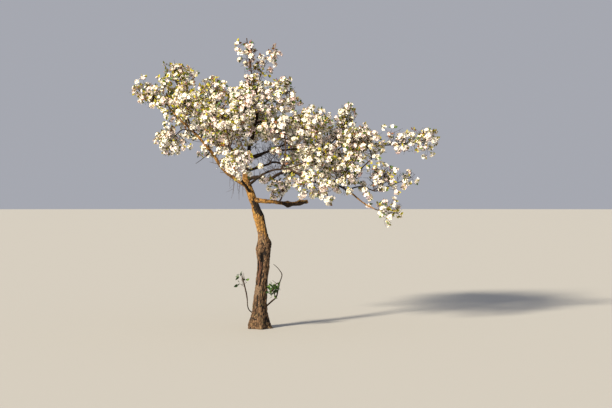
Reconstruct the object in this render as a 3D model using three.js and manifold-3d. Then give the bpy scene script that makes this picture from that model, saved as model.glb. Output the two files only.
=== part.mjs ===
// Cherry blossom tree, a low crooked orchard tree in full flower, at its real size in millimetres.
// +Z is up and the origin is the middle of the flat cut at ground level. -Y is the open front.
// Each limb is one tapering solid along a curve. Each mass of blossom is one solid too: a stem that
// leaves its limb, shoots and twigs that branch from it by a seeded rule, and blooms and leaves on them.

import * as THREE from 'three';
import { mergeVertices } from 'three/addons/utils/BufferGeometryUtils.js';
import Module from 'manifold-3d';

const wasm = await Module();
wasm.setup();

// Driving dimensions, in millimetres

const GAP = 0.3;              // clear space between two solids that touch
const BOUGH_SIDES = 6;
const BRANCH_SIDES = 5;
const THINNEST_BOUGH = 14.5;  // root radius from which a limb gets the sides of a bough
const LIMB_STEP = 175;        // length of one faceted stretch of a limb
const FEWEST_STRETCHES = 3;
const LIMB_TAPER = 0.85;      // power of the share along a limb that its radius falls with
const COLLAR_SWELL = 0.35;    // extra radius where a limb leaves its parent
const COLLAR_LENGTH = 2.2;    // fading length of that collar for each unit of the root radius
const KNOT_LENGTH = 36;       // half length of a knot on a limb
const TWIG_SIDES = 3;
const ROOT_DEPTH = 6;         // how far a stem starts back inside the limb that carries it

// Height, offset in X, offset in Y and radius of the trunk, from the ground to the fork
const TRUNK_STATIONS = [
  [0, 0, 0, 146],
  [65, -12, 0, 132],
  [190, -6, -2, 101],
  [330, 0, -6, 88],
  [480, 16, -10, 82],
  [640, 30, -12, 76],
  [800, 46, -12, 76],
  [930, 48, -8, 81],
  [1050, 51, -6, 80],
  [1180, 34, -2, 62],
  [1320, 2, 0, 65],
  [1400, -19, 0, 72],
  [1540, -62, 0, 51],
  [1710, -124, 2, 51],
  [1830, -172, 6, 49],
  [1940, -182, 12, 37],
];
const TRUNK_SIDES = 18;
const TRUNK_STEPS = 22;
const FLARE = { lobes: 5, depth: 0.13, height: 170, turn: 0.5 };
// The old wound is a long slit between two rolls of healed bark, low on the front
const WOUND = {
  foot: 540, head: 940, turn: -116, width: 24, depth: 0.26, roll: 0.1, rollTurn: 38, blunt: 0.6,
};
// Swellings of the trunk: height, turn in degrees, extra radius, half height and half width in degrees
const BURRS = [
  { height: 985, turn: 182, rise: 0.3, tall: 75, wide: 34 },
  { height: 1062, turn: 2, rise: 0.2, tall: 60, wide: 32 },
  { height: 1600, turn: 200, rise: 0.16, tall: 70, wide: 50 },
];

// Limbs: the parent, the place on it (a height on the trunk, else a share of the parent's length),
// the radius at the root and at the tip, and the points that the limb bends through
const LIMBS = [
  { name: 'leader', from: 'trunk', height: 1935, radii: [30, 9],
    route: [[-140, 40, 2230], [-50, 70, 2580], [-30, 50, 2860], [-80, 30, 3050]] },
  { name: 'left_bough', from: 'trunk', height: 1765, radii: [28, 9],
    route: [[-420, -50, 1950], [-600, -70, 2190], [-800, -50, 2430], [-1020, 0, 2620], [-1170, 40, 2800]] },
  { name: 'right_bough', from: 'trunk', height: 1845, radii: [24, 12],
    route: [[-40, -40, 1885], [120, -90, 1860], [290, -130, 1940], [540, -160, 1910], [740, -180, 1800],
      [930, -200, 1790], [1130, -210, 1695]] },
  { name: 'low_bough', from: 'trunk', height: 1600, radii: [30, 20], knots: [[0.65, 0.85], [0.86, 0.5]],
    route: [[150, -90, 1580], [360, -145, 1552], [590, -190, 1580]] },
  { name: 'upper_right_bough', from: 'leader', at: 0.02, radii: [18, 9],
    route: [[70, 110, 2040], [190, 190, 2080], [380, 280, 2020], [690, 360, 2060]] },
  { name: 'far_right_bough', from: 'leader', at: 0.17, radii: [15, 8],
    route: [[100, 110, 2210], [370, 160, 2240], [660, 180, 2260], [1070, 150, 2320], [1500, 70, 2285]] },
  { name: 'high_right_bough', from: 'leader', at: 0.49, radii: [14, 8],
    route: [[160, 10, 2620], [440, -60, 2575]] },
  { name: 'front_left_bough', from: 'trunk', height: 1690, radii: [19, 10],
    route: [[-230, -350, 1870], [-260, -610, 1930]] },
  { name: 'front_right_bough', from: 'trunk', height: 1780, radii: [19, 10],
    route: [[110, -350, 1940], [380, -600, 1980]] },
  { name: 'back_left_bough', from: 'leader', at: 0.06, radii: [18, 10],
    route: [[-380, 400, 2250], [-560, 700, 2450]] },
  { name: 'back_right_bough', from: 'leader', at: 0.13, radii: [18, 10],
    route: [[140, 420, 2250], [430, 730, 2400]] },
  { name: 'back_bough', from: 'leader', at: 0.29, radii: [16, 10],
    route: [[-120, 420, 2510], [-90, 720, 2650]] },
  { name: 'drooping_branch', from: 'right_bough', at: 0.985, radii: [12, 7],
    route: [[1270, -240, 1570], [1420, -270, 1485]] },
  { name: 'rising_branch', from: 'right_bough', at: 0.93, radii: [11, 7],
    route: [[1180, -190, 1880], [1280, -180, 2010], [1390, -160, 2110]] },
  { name: 'outer_right_branch', from: 'right_bough', at: 0.96, radii: [10, 6],
    route: [[1260, -200, 1765], [1430, -190, 1710], [1590, -170, 1765]] },
  { name: 'left_top_branch', from: 'left_bough', at: 0.7, radii: [10, 7],
    route: [[-950, 40, 2700], [-1000, 90, 2830]] },
  { name: 'left_shoulder_branch', from: 'left_bough', at: 0.54, radii: [10, 7],
    route: [[-690, -10, 2490], [-640, 40, 2600]] },
  { name: 'left_low_branch', from: 'left_bough', at: 0.62, radii: [9, 6],
    route: [[-950, -90, 2475], [-1020, -120, 2420]] },
  { name: 'left_inner_branch', from: 'left_bough', at: 0.38, radii: [10, 6],
    route: [[-450, -110, 2190], [-360, -130, 2230]] },
  { name: 'left_snag', from: 'left_bough', at: 0.41, radii: [7, 3],
    route: [[-710, -100, 2110], [-790, -120, 2050]] },
  { name: 'spire_shoot', from: 'leader', at: 0.86, radii: [7, 4],
    route: [[10, 30, 3180], [60, 20, 3300]] },
  { name: 'foot_shoot_right', from: 'trunk', height: 200, radii: [13, 4],
    route: [[140, -40, 330], [205, -60, 400], [245, -60, 560], [275, -50, 665], [235, -45, 740],
      [170, -40, 800]] },
  { name: 'foot_shoot_left', from: 'trunk', height: 140, radii: [9, 3],
    route: [[-138, -40, 240], [-160, -40, 410], [-195, -50, 570], [-230, -55, 690]] },
];

// Masses: the limb and the share of its length where the stem leaves, the centre and half sizes of
// the space that the mass fills, how far that space leans in X for each unit of height, and the part
// of its sprays that are leaves
const MASSES = [
  { name: 'left_tip', limb: 'left_bough', at: 1, centre: [-1410, 50, 2920], half: [235, 190, 160],
    leaf: 0.3 },
  { name: 'left_top', limb: 'left_top_branch', at: 1, centre: [-1050, 130, 3070], half: [280, 250, 285],
    leaf: 0.55 },
  { name: 'left_shoulder', limb: 'left_shoulder_branch', at: 1, centre: [-600, 90, 2850],
    half: [285, 260, 285], leaf: 0.5 },
  { name: 'left_low', limb: 'left_low_branch', at: 1, centre: [-1080, -140, 2330], half: [225, 210, 200],
    leaf: 0.3 },
  { name: 'left_inner', limb: 'left_inner_branch', at: 1, centre: [-480, -140, 2390], half: [310, 200, 165],
    leaf: 0.35 },
  { name: 'left_front', limb: 'left_bough', at: 0.6, centre: [-860, -440, 2730], half: [240, 220, 195],
    leaf: 0.5 },
  { name: 'left_back', limb: 'left_bough', at: 0.8, centre: [-990, 570, 2850], half: [275, 240, 235],
    leaf: 0.5 },
  { name: 'front_left', limb: 'front_left_bough', at: 1, centre: [-220, -900, 2010], half: [230, 280, 150],
    leaf: 0.25 },
  { name: 'front_left_upper', limb: 'front_left_bough', at: 0.9, centre: [-380, -620, 2480],
    half: [295, 280, 205], leaf: 0.35 },
  { name: 'spire', limb: 'leader', at: 1, centre: [-125, 20, 3350], half: [150, 150, 375], lean: -0.28,
    leaf: 0.55 },
  { name: 'spire_side', limb: 'spire_shoot', at: 1, centre: [165, 20, 3410], half: [130, 90, 120],
    leaf: 0.4 },
  { name: 'top_front', limb: 'leader', at: 0.45, centre: [-170, -220, 2700], half: [295, 230, 245],
    leaf: 0.35 },
  { name: 'top_right', limb: 'leader', at: 0.62, centre: [260, 0, 2890], half: [225, 230, 240], leaf: 0.4 },
  { name: 'top_back', limb: 'leader', at: 0.55, centre: [-150, 430, 2880], half: [310, 270, 270],
    leaf: 0.4 },
  { name: 'high_right', limb: 'high_right_bough', at: 1, centre: [650, -90, 2560], half: [235, 230, 210],
    leaf: 0.3 },
  { name: 'high_far_right', limb: 'far_right_bough', at: 0.7, centre: [1040, 170, 2600],
    half: [150, 200, 230], lean: 0.35, leaf: 0.3 },
  { name: 'right_mid', limb: 'rising_branch', at: 1, centre: [1260, -120, 2290], half: [330, 200, 195],
    leaf: 0.4 },
  { name: 'right_tip', limb: 'far_right_bough', at: 1, centre: [1930, 40, 2340], half: [360, 180, 180],
    leaf: 0.3 },
  { name: 'front_centre', limb: 'front_right_bough', at: 0.8, centre: [290, -480, 2440],
    half: [265, 230, 155], leaf: 0.3 },
  { name: 'centre_right', limb: 'front_right_bough', at: 1, centre: [720, -430, 2130],
    half: [265, 220, 170], leaf: 0.25 },
  { name: 'front_right', limb: 'front_right_bough', at: 0.93, centre: [630, -860, 1770],
    half: [200, 240, 165], leaf: 0.2 },
  { name: 'right_under', limb: 'right_bough', at: 0.8, centre: [1040, -340, 1950], half: [255, 200, 170],
    leaf: 0.3 },
  { name: 'low_middle', limb: 'low_bough', at: 0.45, centre: [270, -200, 1725], half: [220, 140, 110],
    leaf: 0.5 },
  { name: 'hanging', limb: 'right_bough', at: 0.72, centre: [830, -300, 1620], half: [105, 90, 120],
    leaf: 0.25 },
  { name: 'outer_low', limb: 'outer_right_branch', at: 0.6, centre: [1500, -180, 1850],
    half: [235, 190, 170], leaf: 0.25 },
  { name: 'outer_thin', limb: 'outer_right_branch', at: 1, centre: [1800, -150, 1850],
    half: [160, 120, 130], leaf: 0.6 },
  { name: 'droop', limb: 'drooping_branch', at: 1, centre: [1600, -290, 1455], half: [170, 140, 175],
    leaf: 0.25 },
  { name: 'back_right_low', limb: 'upper_right_bough', at: 1, centre: [920, 480, 2060],
    half: [360, 260, 210], leaf: 0.4 },
  { name: 'back_right_high', limb: 'back_right_bough', at: 1, centre: [600, 810, 2560],
    half: [320, 280, 240], leaf: 0.4 },
  { name: 'back_left', limb: 'back_left_bough', at: 1, centre: [-690, 860, 2670], half: [335, 280, 240],
    leaf: 0.4 },
  { name: 'back_centre', limb: 'back_bough', at: 1, centre: [-20, 1010, 2670], half: [360, 280, 255],
    leaf: 0.4 },
  { name: 'back_far_right', limb: 'upper_right_bough', at: 0.88, centre: [1180, 620, 2400],
    half: [290, 230, 195], leaf: 0.35 },
  { name: 'foot_right', limb: 'foot_shoot_right', at: 0.5, centre: [170, -110, 480], half: [80, 80, 125],
    leaf: 1 },
  { name: 'foot_left', limb: 'foot_shoot_left', at: 0.4, centre: [-205, -90, 570], half: [75, 65, 145],
    leaf: 1 },
];

// The branching rule
const GOLDEN_TURN = Math.PI * (3 - Math.sqrt(5));
const FIRST_SEED = 4100;
const SEED_STEP = 37;
const STEM_RADIUS = 11;
const STEM_TAPER = 0.72;
const STEM_STEPS = 2;
const STEM_BOW = 0.4;          // how far a stem keeps to its limb's heading before it turns
const CHILD_SHARE = 0.44;      // radius of a twig for each unit of the radius of its parent there
const TWIG_TAPER = 0.85;
const THINNEST_TWIG = 1.3;
const SHOOT_SPACING = 52;      // mean half size of a mass for each shoot
const FEWEST_SHOOTS = 3;
const SHOOT_PLACE = [0.35, 0.3];   // where in its own stretch of the stem a shoot leaves, and the spread
const SHOOT_SHARE = [0.8, 0.2];    // share of the free way that a shoot takes, and the spread
const SHOOT_LEAN = [78, 42];   // degrees between stem and shoot, low down and near the tip
const LEAN_SPREAD = 12;
const TURN_SPREAD = 0.6;
const LONGEST_TWIG = 3;        // for each unit of the mass's mean half size
const SHORTEST_TWIG = 25;
const SIDE_SHARE = 0.5;        // length of a side twig for each unit of its shoot
const SIDE_LEAN = 58;
const SIDE_PLACE = 0.5;
const SPACE_MARGIN = 0.05;     // clear strip between two masses that share a border
const LIMB_CLEARANCE = 8;
const MARCH = 12;              // step of the search along a free way
const ENTRY_STEP = 0.02;       // step of the search along a stem for the border of its space
const LAST_ENTRY = 0.9;
const LIMB_SAMPLES = 40;
const STEM_SAMPLES = 24;

// Sprays, at the size given here in a mass whose mean half size is PLAIN_SIZE
const PLAIN_SIZE = 200;
const SPRAY_SCALES = [0.45, 1.3];
const BLOOM = { radius: 76, height: 74, floor: 44, petals: 5, sink: 8 };
const LEAF = { length: 142, width: 80, thick: 11, belly: 0.55, sink: 3 };
const SPRAY_ROOM = 80;         // way left free beyond a twig's tip for the spray on it
const TIP_LEAN = [8, 22];      // degrees between a twig and the spray on its tip
const SIDE_SPRAY_LEAN = [66, 22];
const SHOOT_SEATS = [0.68, 0.34];   // places along a shoot that carry a spray each
const STEM_SEAT = 0.7;
const SPRAY_TRIES = 12;
const SPRAY_BORDER = 1.1;      // square of how far past a mass's border its sprays may reach
const MOST_NEW_FACES = { leaf: 20, bloom: 28 };   // a spray that cuts across others costs more

// Colours and finishes
const BARK = 0x7a6248;
const BARK_GOLD = 0x8f6c3f;
const BARK_ROUGHNESS = 0.95;
const GOLDEN_LIMBS = ['low_bough', 'left_bough'];
const BLOSSOM = 0xf1ebe6;
const BLOSSOM_LEAFY = 0xe6e6cf;
const FOOT_LEAF = 0x3f5a24;
const LEAFY_FROM = 0.45;       // part of leaves from which a mass gets the leafy colour
const SPRAY_ROUGHNESS = 0.8;

const root = new THREE.Group();

// Helpers

function seeded(seed) {
  let state = seed >>> 0;
  return () => {
    state = (Math.imul(state, 1664525) + 1013904223) >>> 0;
    return state / 4294967296;
  };
}

function vector(values) {
  return new THREE.Vector3(values[0], values[1], values[2]);
}

function mix(a, b, share) {
  return a + (b - a) * share;
}

function radians(degrees) {
  return degrees * Math.PI / 180;
}

// A bump of height 1 at 0 that fades out smoothly over a few widths
function bump(distance, width) {
  return Math.exp(-((distance / width) ** 2));
}

function smoothCurve(points) {
  return new THREE.CatmullRomCurve3(points, false, 'catmullrom', 0.5);
}

// Straight stretches through points that lie an even share of the line apart
function bentLine(points) {
  const stretchAt = (share) => Math.min(Math.floor(share * (points.length - 1)), points.length - 2);
  return {
    getPoint: (share) => {
      const index = stretchAt(share);
      return points[index].clone().lerp(points[index + 1], share * (points.length - 1) - index);
    },
    getTangent: (share) => {
      const index = stretchAt(share);
      return points[index + 1].clone().sub(points[index]).normalize();
    },
  };
}

// Closed tube through rings of points that all have the same number of points
function skin(rings) {
  const sides = rings[0].length;
  const positions = rings.flat().flatMap((point) => [point.x, point.y, point.z]);
  const faces = [];
  for (let ring = 0; ring < rings.length - 1; ring += 1) {
    for (let side = 0; side < sides; side += 1) {
      const next = (side + 1) % sides;
      const a = ring * sides + side;
      const b = ring * sides + next;
      faces.push(a, b, b + sides, a, b + sides, a + sides);
    }
  }
  const last = (rings.length - 1) * sides;
  for (let side = 1; side < sides - 1; side += 1) {
    faces.push(0, side + 1, side);
    faces.push(last, last + side, last + side + 1);
  }
  return closedGeometry(positions, faces);
}

function closedGeometry(positions, faces) {
  const geometry = new THREE.BufferGeometry();
  geometry.setAttribute('position', new THREE.Float32BufferAttribute(positions, 3));
  geometry.setIndex(faces);
  return geometry;
}

function solidOf(geometry) {
  const merged = mergeVertices(geometry, 1e-4);
  const triVerts = new Uint32Array(merged.index.array);
  const vertProperties = new Float32Array(merged.attributes.position.array);
  return new wasm.Manifold(new wasm.Mesh({ numProp: 3, vertProperties, triVerts }));
}

function geometryOf(solid) {
  const mesh = solid.getMesh();
  return closedGeometry(Array.from(mesh.vertProperties), Array.from(mesh.triVerts));
}

// The biggest body of a solid, without loose scraps and without the skin of a sealed hollow
function mainBody(solid) {
  const bodies = solid.decompose();
  return bodies.reduce((best, body) => (body.volume() > best.volume() ? body : best));
}

// Tapering rod along points, with ends grown by the gap when it is used as a cutter
function rodSolid(points, radii, sides, grow = 0) {
  const outward = 1 / Math.cos(Math.PI / sides);
  const rings = [];
  let across = new THREE.Vector3(0.31, 0.22, 0.93);
  points.forEach((point, index) => {
    const before = points[Math.max(index - 1, 0)];
    const after = points[Math.min(index + 1, points.length - 1)];
    const heading = after.clone().sub(before).normalize();
    across.addScaledVector(heading, -across.dot(heading)).normalize();
    const side = new THREE.Vector3().crossVectors(heading, across);
    const centre = point.clone();
    if (index === 0) centre.addScaledVector(heading, -grow);
    if (index === points.length - 1) centre.addScaledVector(heading, grow);
    const radius = radii[index] + grow * outward;
    const ring = [];
    for (let step = 0; step < sides; step += 1) {
      const turn = 2 * Math.PI * step / sides;
      ring.push(centre.clone()
        .addScaledVector(across, radius * Math.cos(turn))
        .addScaledVector(side, radius * Math.sin(turn)));
    }
    rings.push(ring);
    across = across.clone();
  });
  return solidOf(skin(rings));
}

// Trunk

const trunkCurve = smoothCurve(TRUNK_STATIONS.map(([height, x, y]) => new THREE.Vector3(x, y, height)));

function trunkRadius(share) {
  const place = share * (TRUNK_STATIONS.length - 1);
  const index = Math.min(Math.floor(place), TRUNK_STATIONS.length - 2);
  return mix(TRUNK_STATIONS[index][3], TRUNK_STATIONS[index + 1][3], place - index);
}

function trunkShareAt(height) {
  let low = 0;
  let high = 1;
  for (let round = 0; round < 40; round += 1) {
    const middle = (low + high) / 2;
    if (trunkCurve.getPoint(middle).z < height) low = middle;
    else high = middle;
  }
  return (low + high) / 2;
}

function turnBetween(a, b) {
  return Math.abs((((a - b) % 360) + 540) % 360 - 180);
}

// Radius of the trunk at a height and turn: root lobes, burrs, and the wound with its rolls
function trunkShape(height, degrees) {
  const lobe = Math.cos(radians(degrees) * FLARE.lobes + FLARE.turn);
  let shape = 1 + FLARE.depth * lobe * bump(height, FLARE.height);
  for (const burr of BURRS) {
    const round = bump(turnBetween(degrees, burr.turn), burr.wide);
    shape += burr.rise * bump(height - burr.height, burr.tall) * round;
  }
  const along = (height - WOUND.foot) / (WOUND.head - WOUND.foot);
  if (along > 0 && along < 1) {
    const open = Math.sin(Math.PI * along) ** WOUND.blunt;
    const off = turnBetween(degrees, WOUND.turn);
    shape -= WOUND.depth * open * bump(off, WOUND.width);
    shape += WOUND.roll * open * bump(off - WOUND.rollTurn, WOUND.width);
  }
  return shape;
}

function trunkSolid(grow) {
  const rings = [];
  for (let step = 0; step <= TRUNK_STEPS; step += 1) {
    const centre = trunkCurve.getPoint(step / TRUNK_STEPS);
    const radius = trunkRadius(step / TRUNK_STEPS);
    const lift = step === TRUNK_STEPS ? grow : 0;
    const ring = [];
    for (let side = 0; side < TRUNK_SIDES; side += 1) {
      const degrees = 360 * side / TRUNK_SIDES;
      const reach = radius * trunkShape(centre.z, degrees) + grow / Math.cos(Math.PI / TRUNK_SIDES);
      const turn = radians(degrees);
      ring.push(new THREE.Vector3(
        centre.x + reach * Math.cos(turn), centre.y + reach * Math.sin(turn), centre.z + lift));
    }
    rings.push(ring);
  }
  return solidOf(skin(rings));
}

// Limbs

function limbRadius(limb, share, length) {
  const plain = mix(limb.radii[0], limb.radii[1], share ** LIMB_TAPER);
  const collar = 1 + COLLAR_SWELL * Math.exp(-share * length / (COLLAR_LENGTH * limb.radii[0]));
  let knots = 1;
  for (const [at, rise] of limb.knots ?? []) {
    knots += rise * bump((share - at) * length, KNOT_LENGTH);
  }
  return plain * collar * knots;
}

function shapeLimbs() {
  const shaped = { trunk: { curve: trunkCurve, radiusAt: trunkRadius } };
  for (const limb of LIMBS) {
    const parent = shaped[limb.from].curve;
    const place = limb.height === undefined ? limb.at : trunkShareAt(limb.height);
    const curve = smoothCurve([parent.getPoint(place), ...limb.route.map(vector)]);
    const length = curve.getLength();
    const sides = limb.radii[0] > THINNEST_BOUGH ? BOUGH_SIDES : BRANCH_SIDES;
    shaped[limb.name] = { curve, length, sides, radiusAt: (share) => limbRadius(limb, share, length) };
  }
  return shaped;
}

function limbSolid(shaped, grow) {
  const steps = Math.max(FEWEST_STRETCHES, Math.round(shaped.length / LIMB_STEP));
  const points = [];
  const radii = [];
  for (let step = 0; step <= steps; step += 1) {
    const share = step / steps;
    points.push(shaped.curve.getPoint(share));
    radii.push(shaped.radiusAt(share));
  }
  return rodSolid(points, radii, shaped.sides, grow);
}

// Masses

// Square of the distance from a mass's centre, with 1 on the border of its space
function level(mass, point) {
  const up = point.z - mass.centre[2];
  const across = point.x - mass.centre[0] - (mass.lean ?? 0) * up;
  const deep = point.y - mass.centre[1];
  return (across / mass.half[0]) ** 2 + (deep / mass.half[1]) ** 2 + (up / mass.half[2]) ** 2;
}

function owns(mass, point, border = 1) {
  const own = level(mass, point);
  if (own > border) return false;
  return MASSES.every((other) => other === mass || level(other, point) - own > SPACE_MARGIN);
}

// Sample points of every limb and stem that twigs and sprays keep clear of
function samplesOf(curve, radiusAt, count) {
  const samples = [];
  for (let step = 0; step <= count; step += 1) {
    samples.push({ point: curve.getPoint(step / count), radius: radiusAt(step / count) });
  }
  return samples;
}

function clearOf(obstacles, point, room) {
  return obstacles.every((samples) => samples.every(
    (sample) => sample.point.distanceTo(point) > sample.radius + room));
}

function shapeStem(mass, shaped) {
  const limb = shaped[mass.limb];
  const heading = limb.curve.getTangent(mass.at);
  const start = limb.curve.getPoint(mass.at);
  if (mass.at === 1) start.addScaledVector(heading, -ROOT_DEPTH);
  const centre = vector(mass.centre);
  const way = centre.clone().sub(start).normalize();
  const end = centre.clone();
  while (level(mass, end) < 1) end.addScaledVector(way, MARCH);
  end.addScaledVector(way, -MARCH - SPRAY_ROOM * sprayScale(mass));
  const length = end.distanceTo(start);
  const bend = heading.clone().add(way).normalize();
  const middle = start.clone().addScaledVector(bend, STEM_BOW * length);
  const bow = new THREE.QuadraticBezierCurve3(start, middle, end);
  const thick = Math.min(STEM_RADIUS, limb.radiusAt(mass.at));
  const radiusAt = (share) => thick * mix(1, STEM_TAPER, share);
  return { curve: bentLine(bow.getPoints(STEM_STEPS)), radiusAt };
}

// Free way from a point along a direction, inside the mass's space and clear of every limb
function freeReach(mass, obstacles, start, way, limit) {
  const point = start.clone();
  let reach = 0;
  while (reach < limit) {
    point.addScaledVector(way, MARCH);
    if (!owns(mass, point) || !clearOf(obstacles, point, LIMB_CLEARANCE)) break;
    reach += MARCH;
  }
  return reach;
}

function sideways(heading, turn) {
  const across = new THREE.Vector3(0.31, 0.22, 0.93);
  across.addScaledVector(heading, -across.dot(heading)).normalize();
  const side = new THREE.Vector3().crossVectors(heading, across);
  return across.multiplyScalar(Math.cos(turn)).addScaledVector(side, Math.sin(turn));
}

function branchWay(heading, turn, lean) {
  const out = sideways(heading, turn);
  return heading.clone().multiplyScalar(Math.cos(lean)).addScaledVector(out, Math.sin(lean));
}

function straightTwig(start, way, length, parentRadius) {
  const thick = Math.max(THINNEST_TWIG, CHILD_SHARE * parentRadius);
  const end = start.clone().addScaledVector(way, length);
  const radiusAt = (share) => thick * mix(1, TWIG_TAPER, share);
  return { curve: new THREE.LineCurve3(start, end), radiusAt };
}

function meanSize(mass) {
  return Math.cbrt(mass.half[0] * mass.half[1] * mass.half[2]);
}

function sprayScale(mass) {
  return THREE.MathUtils.clamp(meanSize(mass) / PLAIN_SIZE, SPRAY_SCALES[0], SPRAY_SCALES[1]);
}

// Shoots and side twigs of a mass, by turns of the golden angle round the stem
function growBranches(mass, stem, obstacles, draw) {
  const shoots = [];
  const sides = [];
  const size = meanSize(mass);
  const room = SPRAY_ROOM * sprayScale(mass);
  const limit = LONGEST_TWIG * size;
  const count = Math.max(FEWEST_SHOOTS, Math.round(size / SHOOT_SPACING));
  let entry = 0;
  while (entry < LAST_ENTRY && !owns(mass, stem.curve.getPoint(entry))) entry += ENTRY_STEP;
  for (let index = 0; index < count; index += 1) {
    const along = (index + SHOOT_PLACE[0] + SHOOT_PLACE[1] * draw()) / count;
    const place = mix(entry, 1, along);
    const turn = index * GOLDEN_TURN + TURN_SPREAD * draw();
    const lean = radians(mix(SHOOT_LEAN[0], SHOOT_LEAN[1], along) + LEAN_SPREAD * (draw() - 0.5));
    const share = SHOOT_SHARE[0] + SHOOT_SHARE[1] * draw();
    const sideTurn = 2 * Math.PI * draw();
    const start = stem.curve.getPoint(place);
    const way = branchWay(stem.curve.getTangent(place), turn, lean);
    const length = share * (freeReach(mass, obstacles, start, way, limit) - room);
    if (length < SHORTEST_TWIG) continue;
    const shoot = straightTwig(start, way, length, stem.radiusAt(place));
    shoots.push(shoot);
    const root = shoot.curve.getPoint(SIDE_PLACE);
    const sideWay = branchWay(way, sideTurn, radians(SIDE_LEAN));
    const free = freeReach(mass, obstacles, root, sideWay, limit) - room;
    const sideLength = Math.min(SIDE_SHARE * length + SHORTEST_TWIG, free);
    if (sideLength >= SHORTEST_TWIG) {
      sides.push(straightTwig(root, sideWay, sideLength, shoot.radiusAt(SIDE_PLACE)));
    }
  }
  return { shoots, sides };
}

// A bloom: five petals as a cup on a point that is sunk into its twig
function bloomPoints(foot, seat, way, turn, scale) {
  const floor = seat.clone().addScaledVector(way, BLOOM.floor * scale);
  const rim = [];
  for (let petal = 0; petal < BLOOM.petals; petal += 1) {
    rim.push(seat.clone()
      .addScaledVector(sideways(way, turn + 2 * Math.PI * petal / BLOOM.petals), BLOOM.radius * scale)
      .addScaledVector(way, BLOOM.height * scale));
  }
  return { foot, floor, rim };
}

// A leaf: a pointed blade with a low ridge above and below its middle
function leafPoints(root, seat, way, turn, scale) {
  const flat = sideways(way, turn);
  const thin = new THREE.Vector3().crossVectors(way, flat);
  const belly = seat.clone().addScaledVector(way, LEAF.belly * LEAF.length * scale);
  const rim = [
    root,
    belly.clone().addScaledVector(flat, -LEAF.width * scale / 2),
    seat.clone().addScaledVector(way, LEAF.length * scale),
    belly.clone().addScaledVector(flat, LEAF.width * scale / 2),
  ];
  const floor = belly.clone().addScaledVector(thin, LEAF.thick / 2);
  const foot = belly.clone().addScaledVector(thin, -LEAF.thick / 2);
  return { foot, floor, rim };
}

// Closed fan of faces above and below a rim
function fanSolid({ foot, floor, rim }) {
  const points = [foot, floor, ...rim];
  const faces = [];
  rim.forEach((point, index) => {
    const next = (index + 1) % rim.length;
    faces.push(1, 2 + index, 2 + next);
    faces.push(0, 2 + next, 2 + index);
  });
  return solidOf(closedGeometry(points.flatMap((point) => [point.x, point.y, point.z]), faces));
}

// One try at a spray on a seat
function trySpray(mass, carrier, place, draw) {
  const isLeaf = draw() < mass.leaf;
  const turn = Math.PI * (1 + 2 * Math.floor(TWIG_SIDES * draw())) / TWIG_SIDES;
  const [least, spread] = place === 1 ? TIP_LEAN : SIDE_SPRAY_LEAN;
  const lean = radians(least + spread * draw());
  const spin = 2 * Math.PI * draw();
  const seat = carrier.curve.getPoint(place);
  const heading = carrier.curve.getTangent(place);
  const sink = isLeaf ? LEAF.sink : BLOOM.sink;
  const rooted = seat.clone().addScaledVector(heading, place === 1 ? -sink : 0);
  const way = branchWay(heading, turn, lean);
  const scale = sprayScale(mass);
  const shape = (isLeaf ? leafPoints : bloomPoints)(rooted, seat, way, spin, scale);
  const outer = isLeaf ? [shape.floor, ...shape.rim.slice(1)] : [shape.floor, ...shape.rim];
  return { ...shape, outer, mostFaces: isLeaf ? MOST_NEW_FACES.leaf : MOST_NEW_FACES.bloom };
}

// A spray is left out where each try would leave the mass's space, come near a limb or cut another
function addSprays(twigs, mass, stem, branches, obstacles, draw) {
  const seats = [
    [stem, 1],
    ...branches.shoots.map((shoot) => [shoot, 1]),
    ...branches.sides.map((side) => [side, 1]),
    ...branches.shoots.flatMap((shoot) => SHOOT_SEATS.map((place) => [shoot, place])),
    [stem, STEM_SEAT],
  ];
  let solid = twigs;
  for (const [carrier, place] of seats) {
    for (let count = 0; count < SPRAY_TRIES; count += 1) {
      const spray = trySpray(mass, carrier, place, draw);
      const free = spray.outer.every(
        (point) => owns(mass, point, SPRAY_BORDER) && clearOf(obstacles, point, LIMB_CLEARANCE));
      if (!free) continue;
      const joined = solid.add(fanSolid(spray));
      if (joined.numTri() - solid.numTri() > spray.mostFaces) continue;
      solid = joined;
      break;
    }
  }
  return solid;
}

function twigSolid(twig, steps) {
  const points = [];
  const radii = [];
  for (let step = 0; step <= steps; step += 1) {
    points.push(twig.curve.getPoint(step / steps));
    radii.push(twig.radiusAt(step / steps));
  }
  return rodSolid(points, radii, TWIG_SIDES);
}

function massSolid(mass, number, stems, limbSamples, cutters) {
  const stem = stems[mass.name];
  const otherStems = Object.keys(stems).filter((name) => name !== mass.name)
    .map((name) => stems[name].samples);
  const obstacles = [...limbSamples, ...otherStems];
  const branches = growBranches(mass, stem, obstacles, seeded(FIRST_SEED + SEED_STEP * number));
  let solid = twigSolid(stem, STEM_STEPS);
  for (const twig of [...branches.shoots, ...branches.sides]) solid = solid.add(twigSolid(twig, 1));
  solid = addSprays(solid, mass, stem, branches, obstacles, seeded(2 * FIRST_SEED + SEED_STEP * number));
  for (const cutter of cutters) solid = solid.subtract(cutter);
  return mainBody(solid);
}

// Assembly

function addPiece(name, solid, colour, roughness) {
  const material = new THREE.MeshStandardMaterial({ color: colour, roughness, metalness: 0 });
  const mesh = new THREE.Mesh(geometryOf(solid), material);
  mesh.name = name;
  root.add(mesh);
}

function massColour(mass) {
  if (mass.leaf === 1) return FOOT_LEAF;
  return mass.leaf > LEAFY_FROM ? BLOSSOM_LEAFY : BLOSSOM;
}

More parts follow.
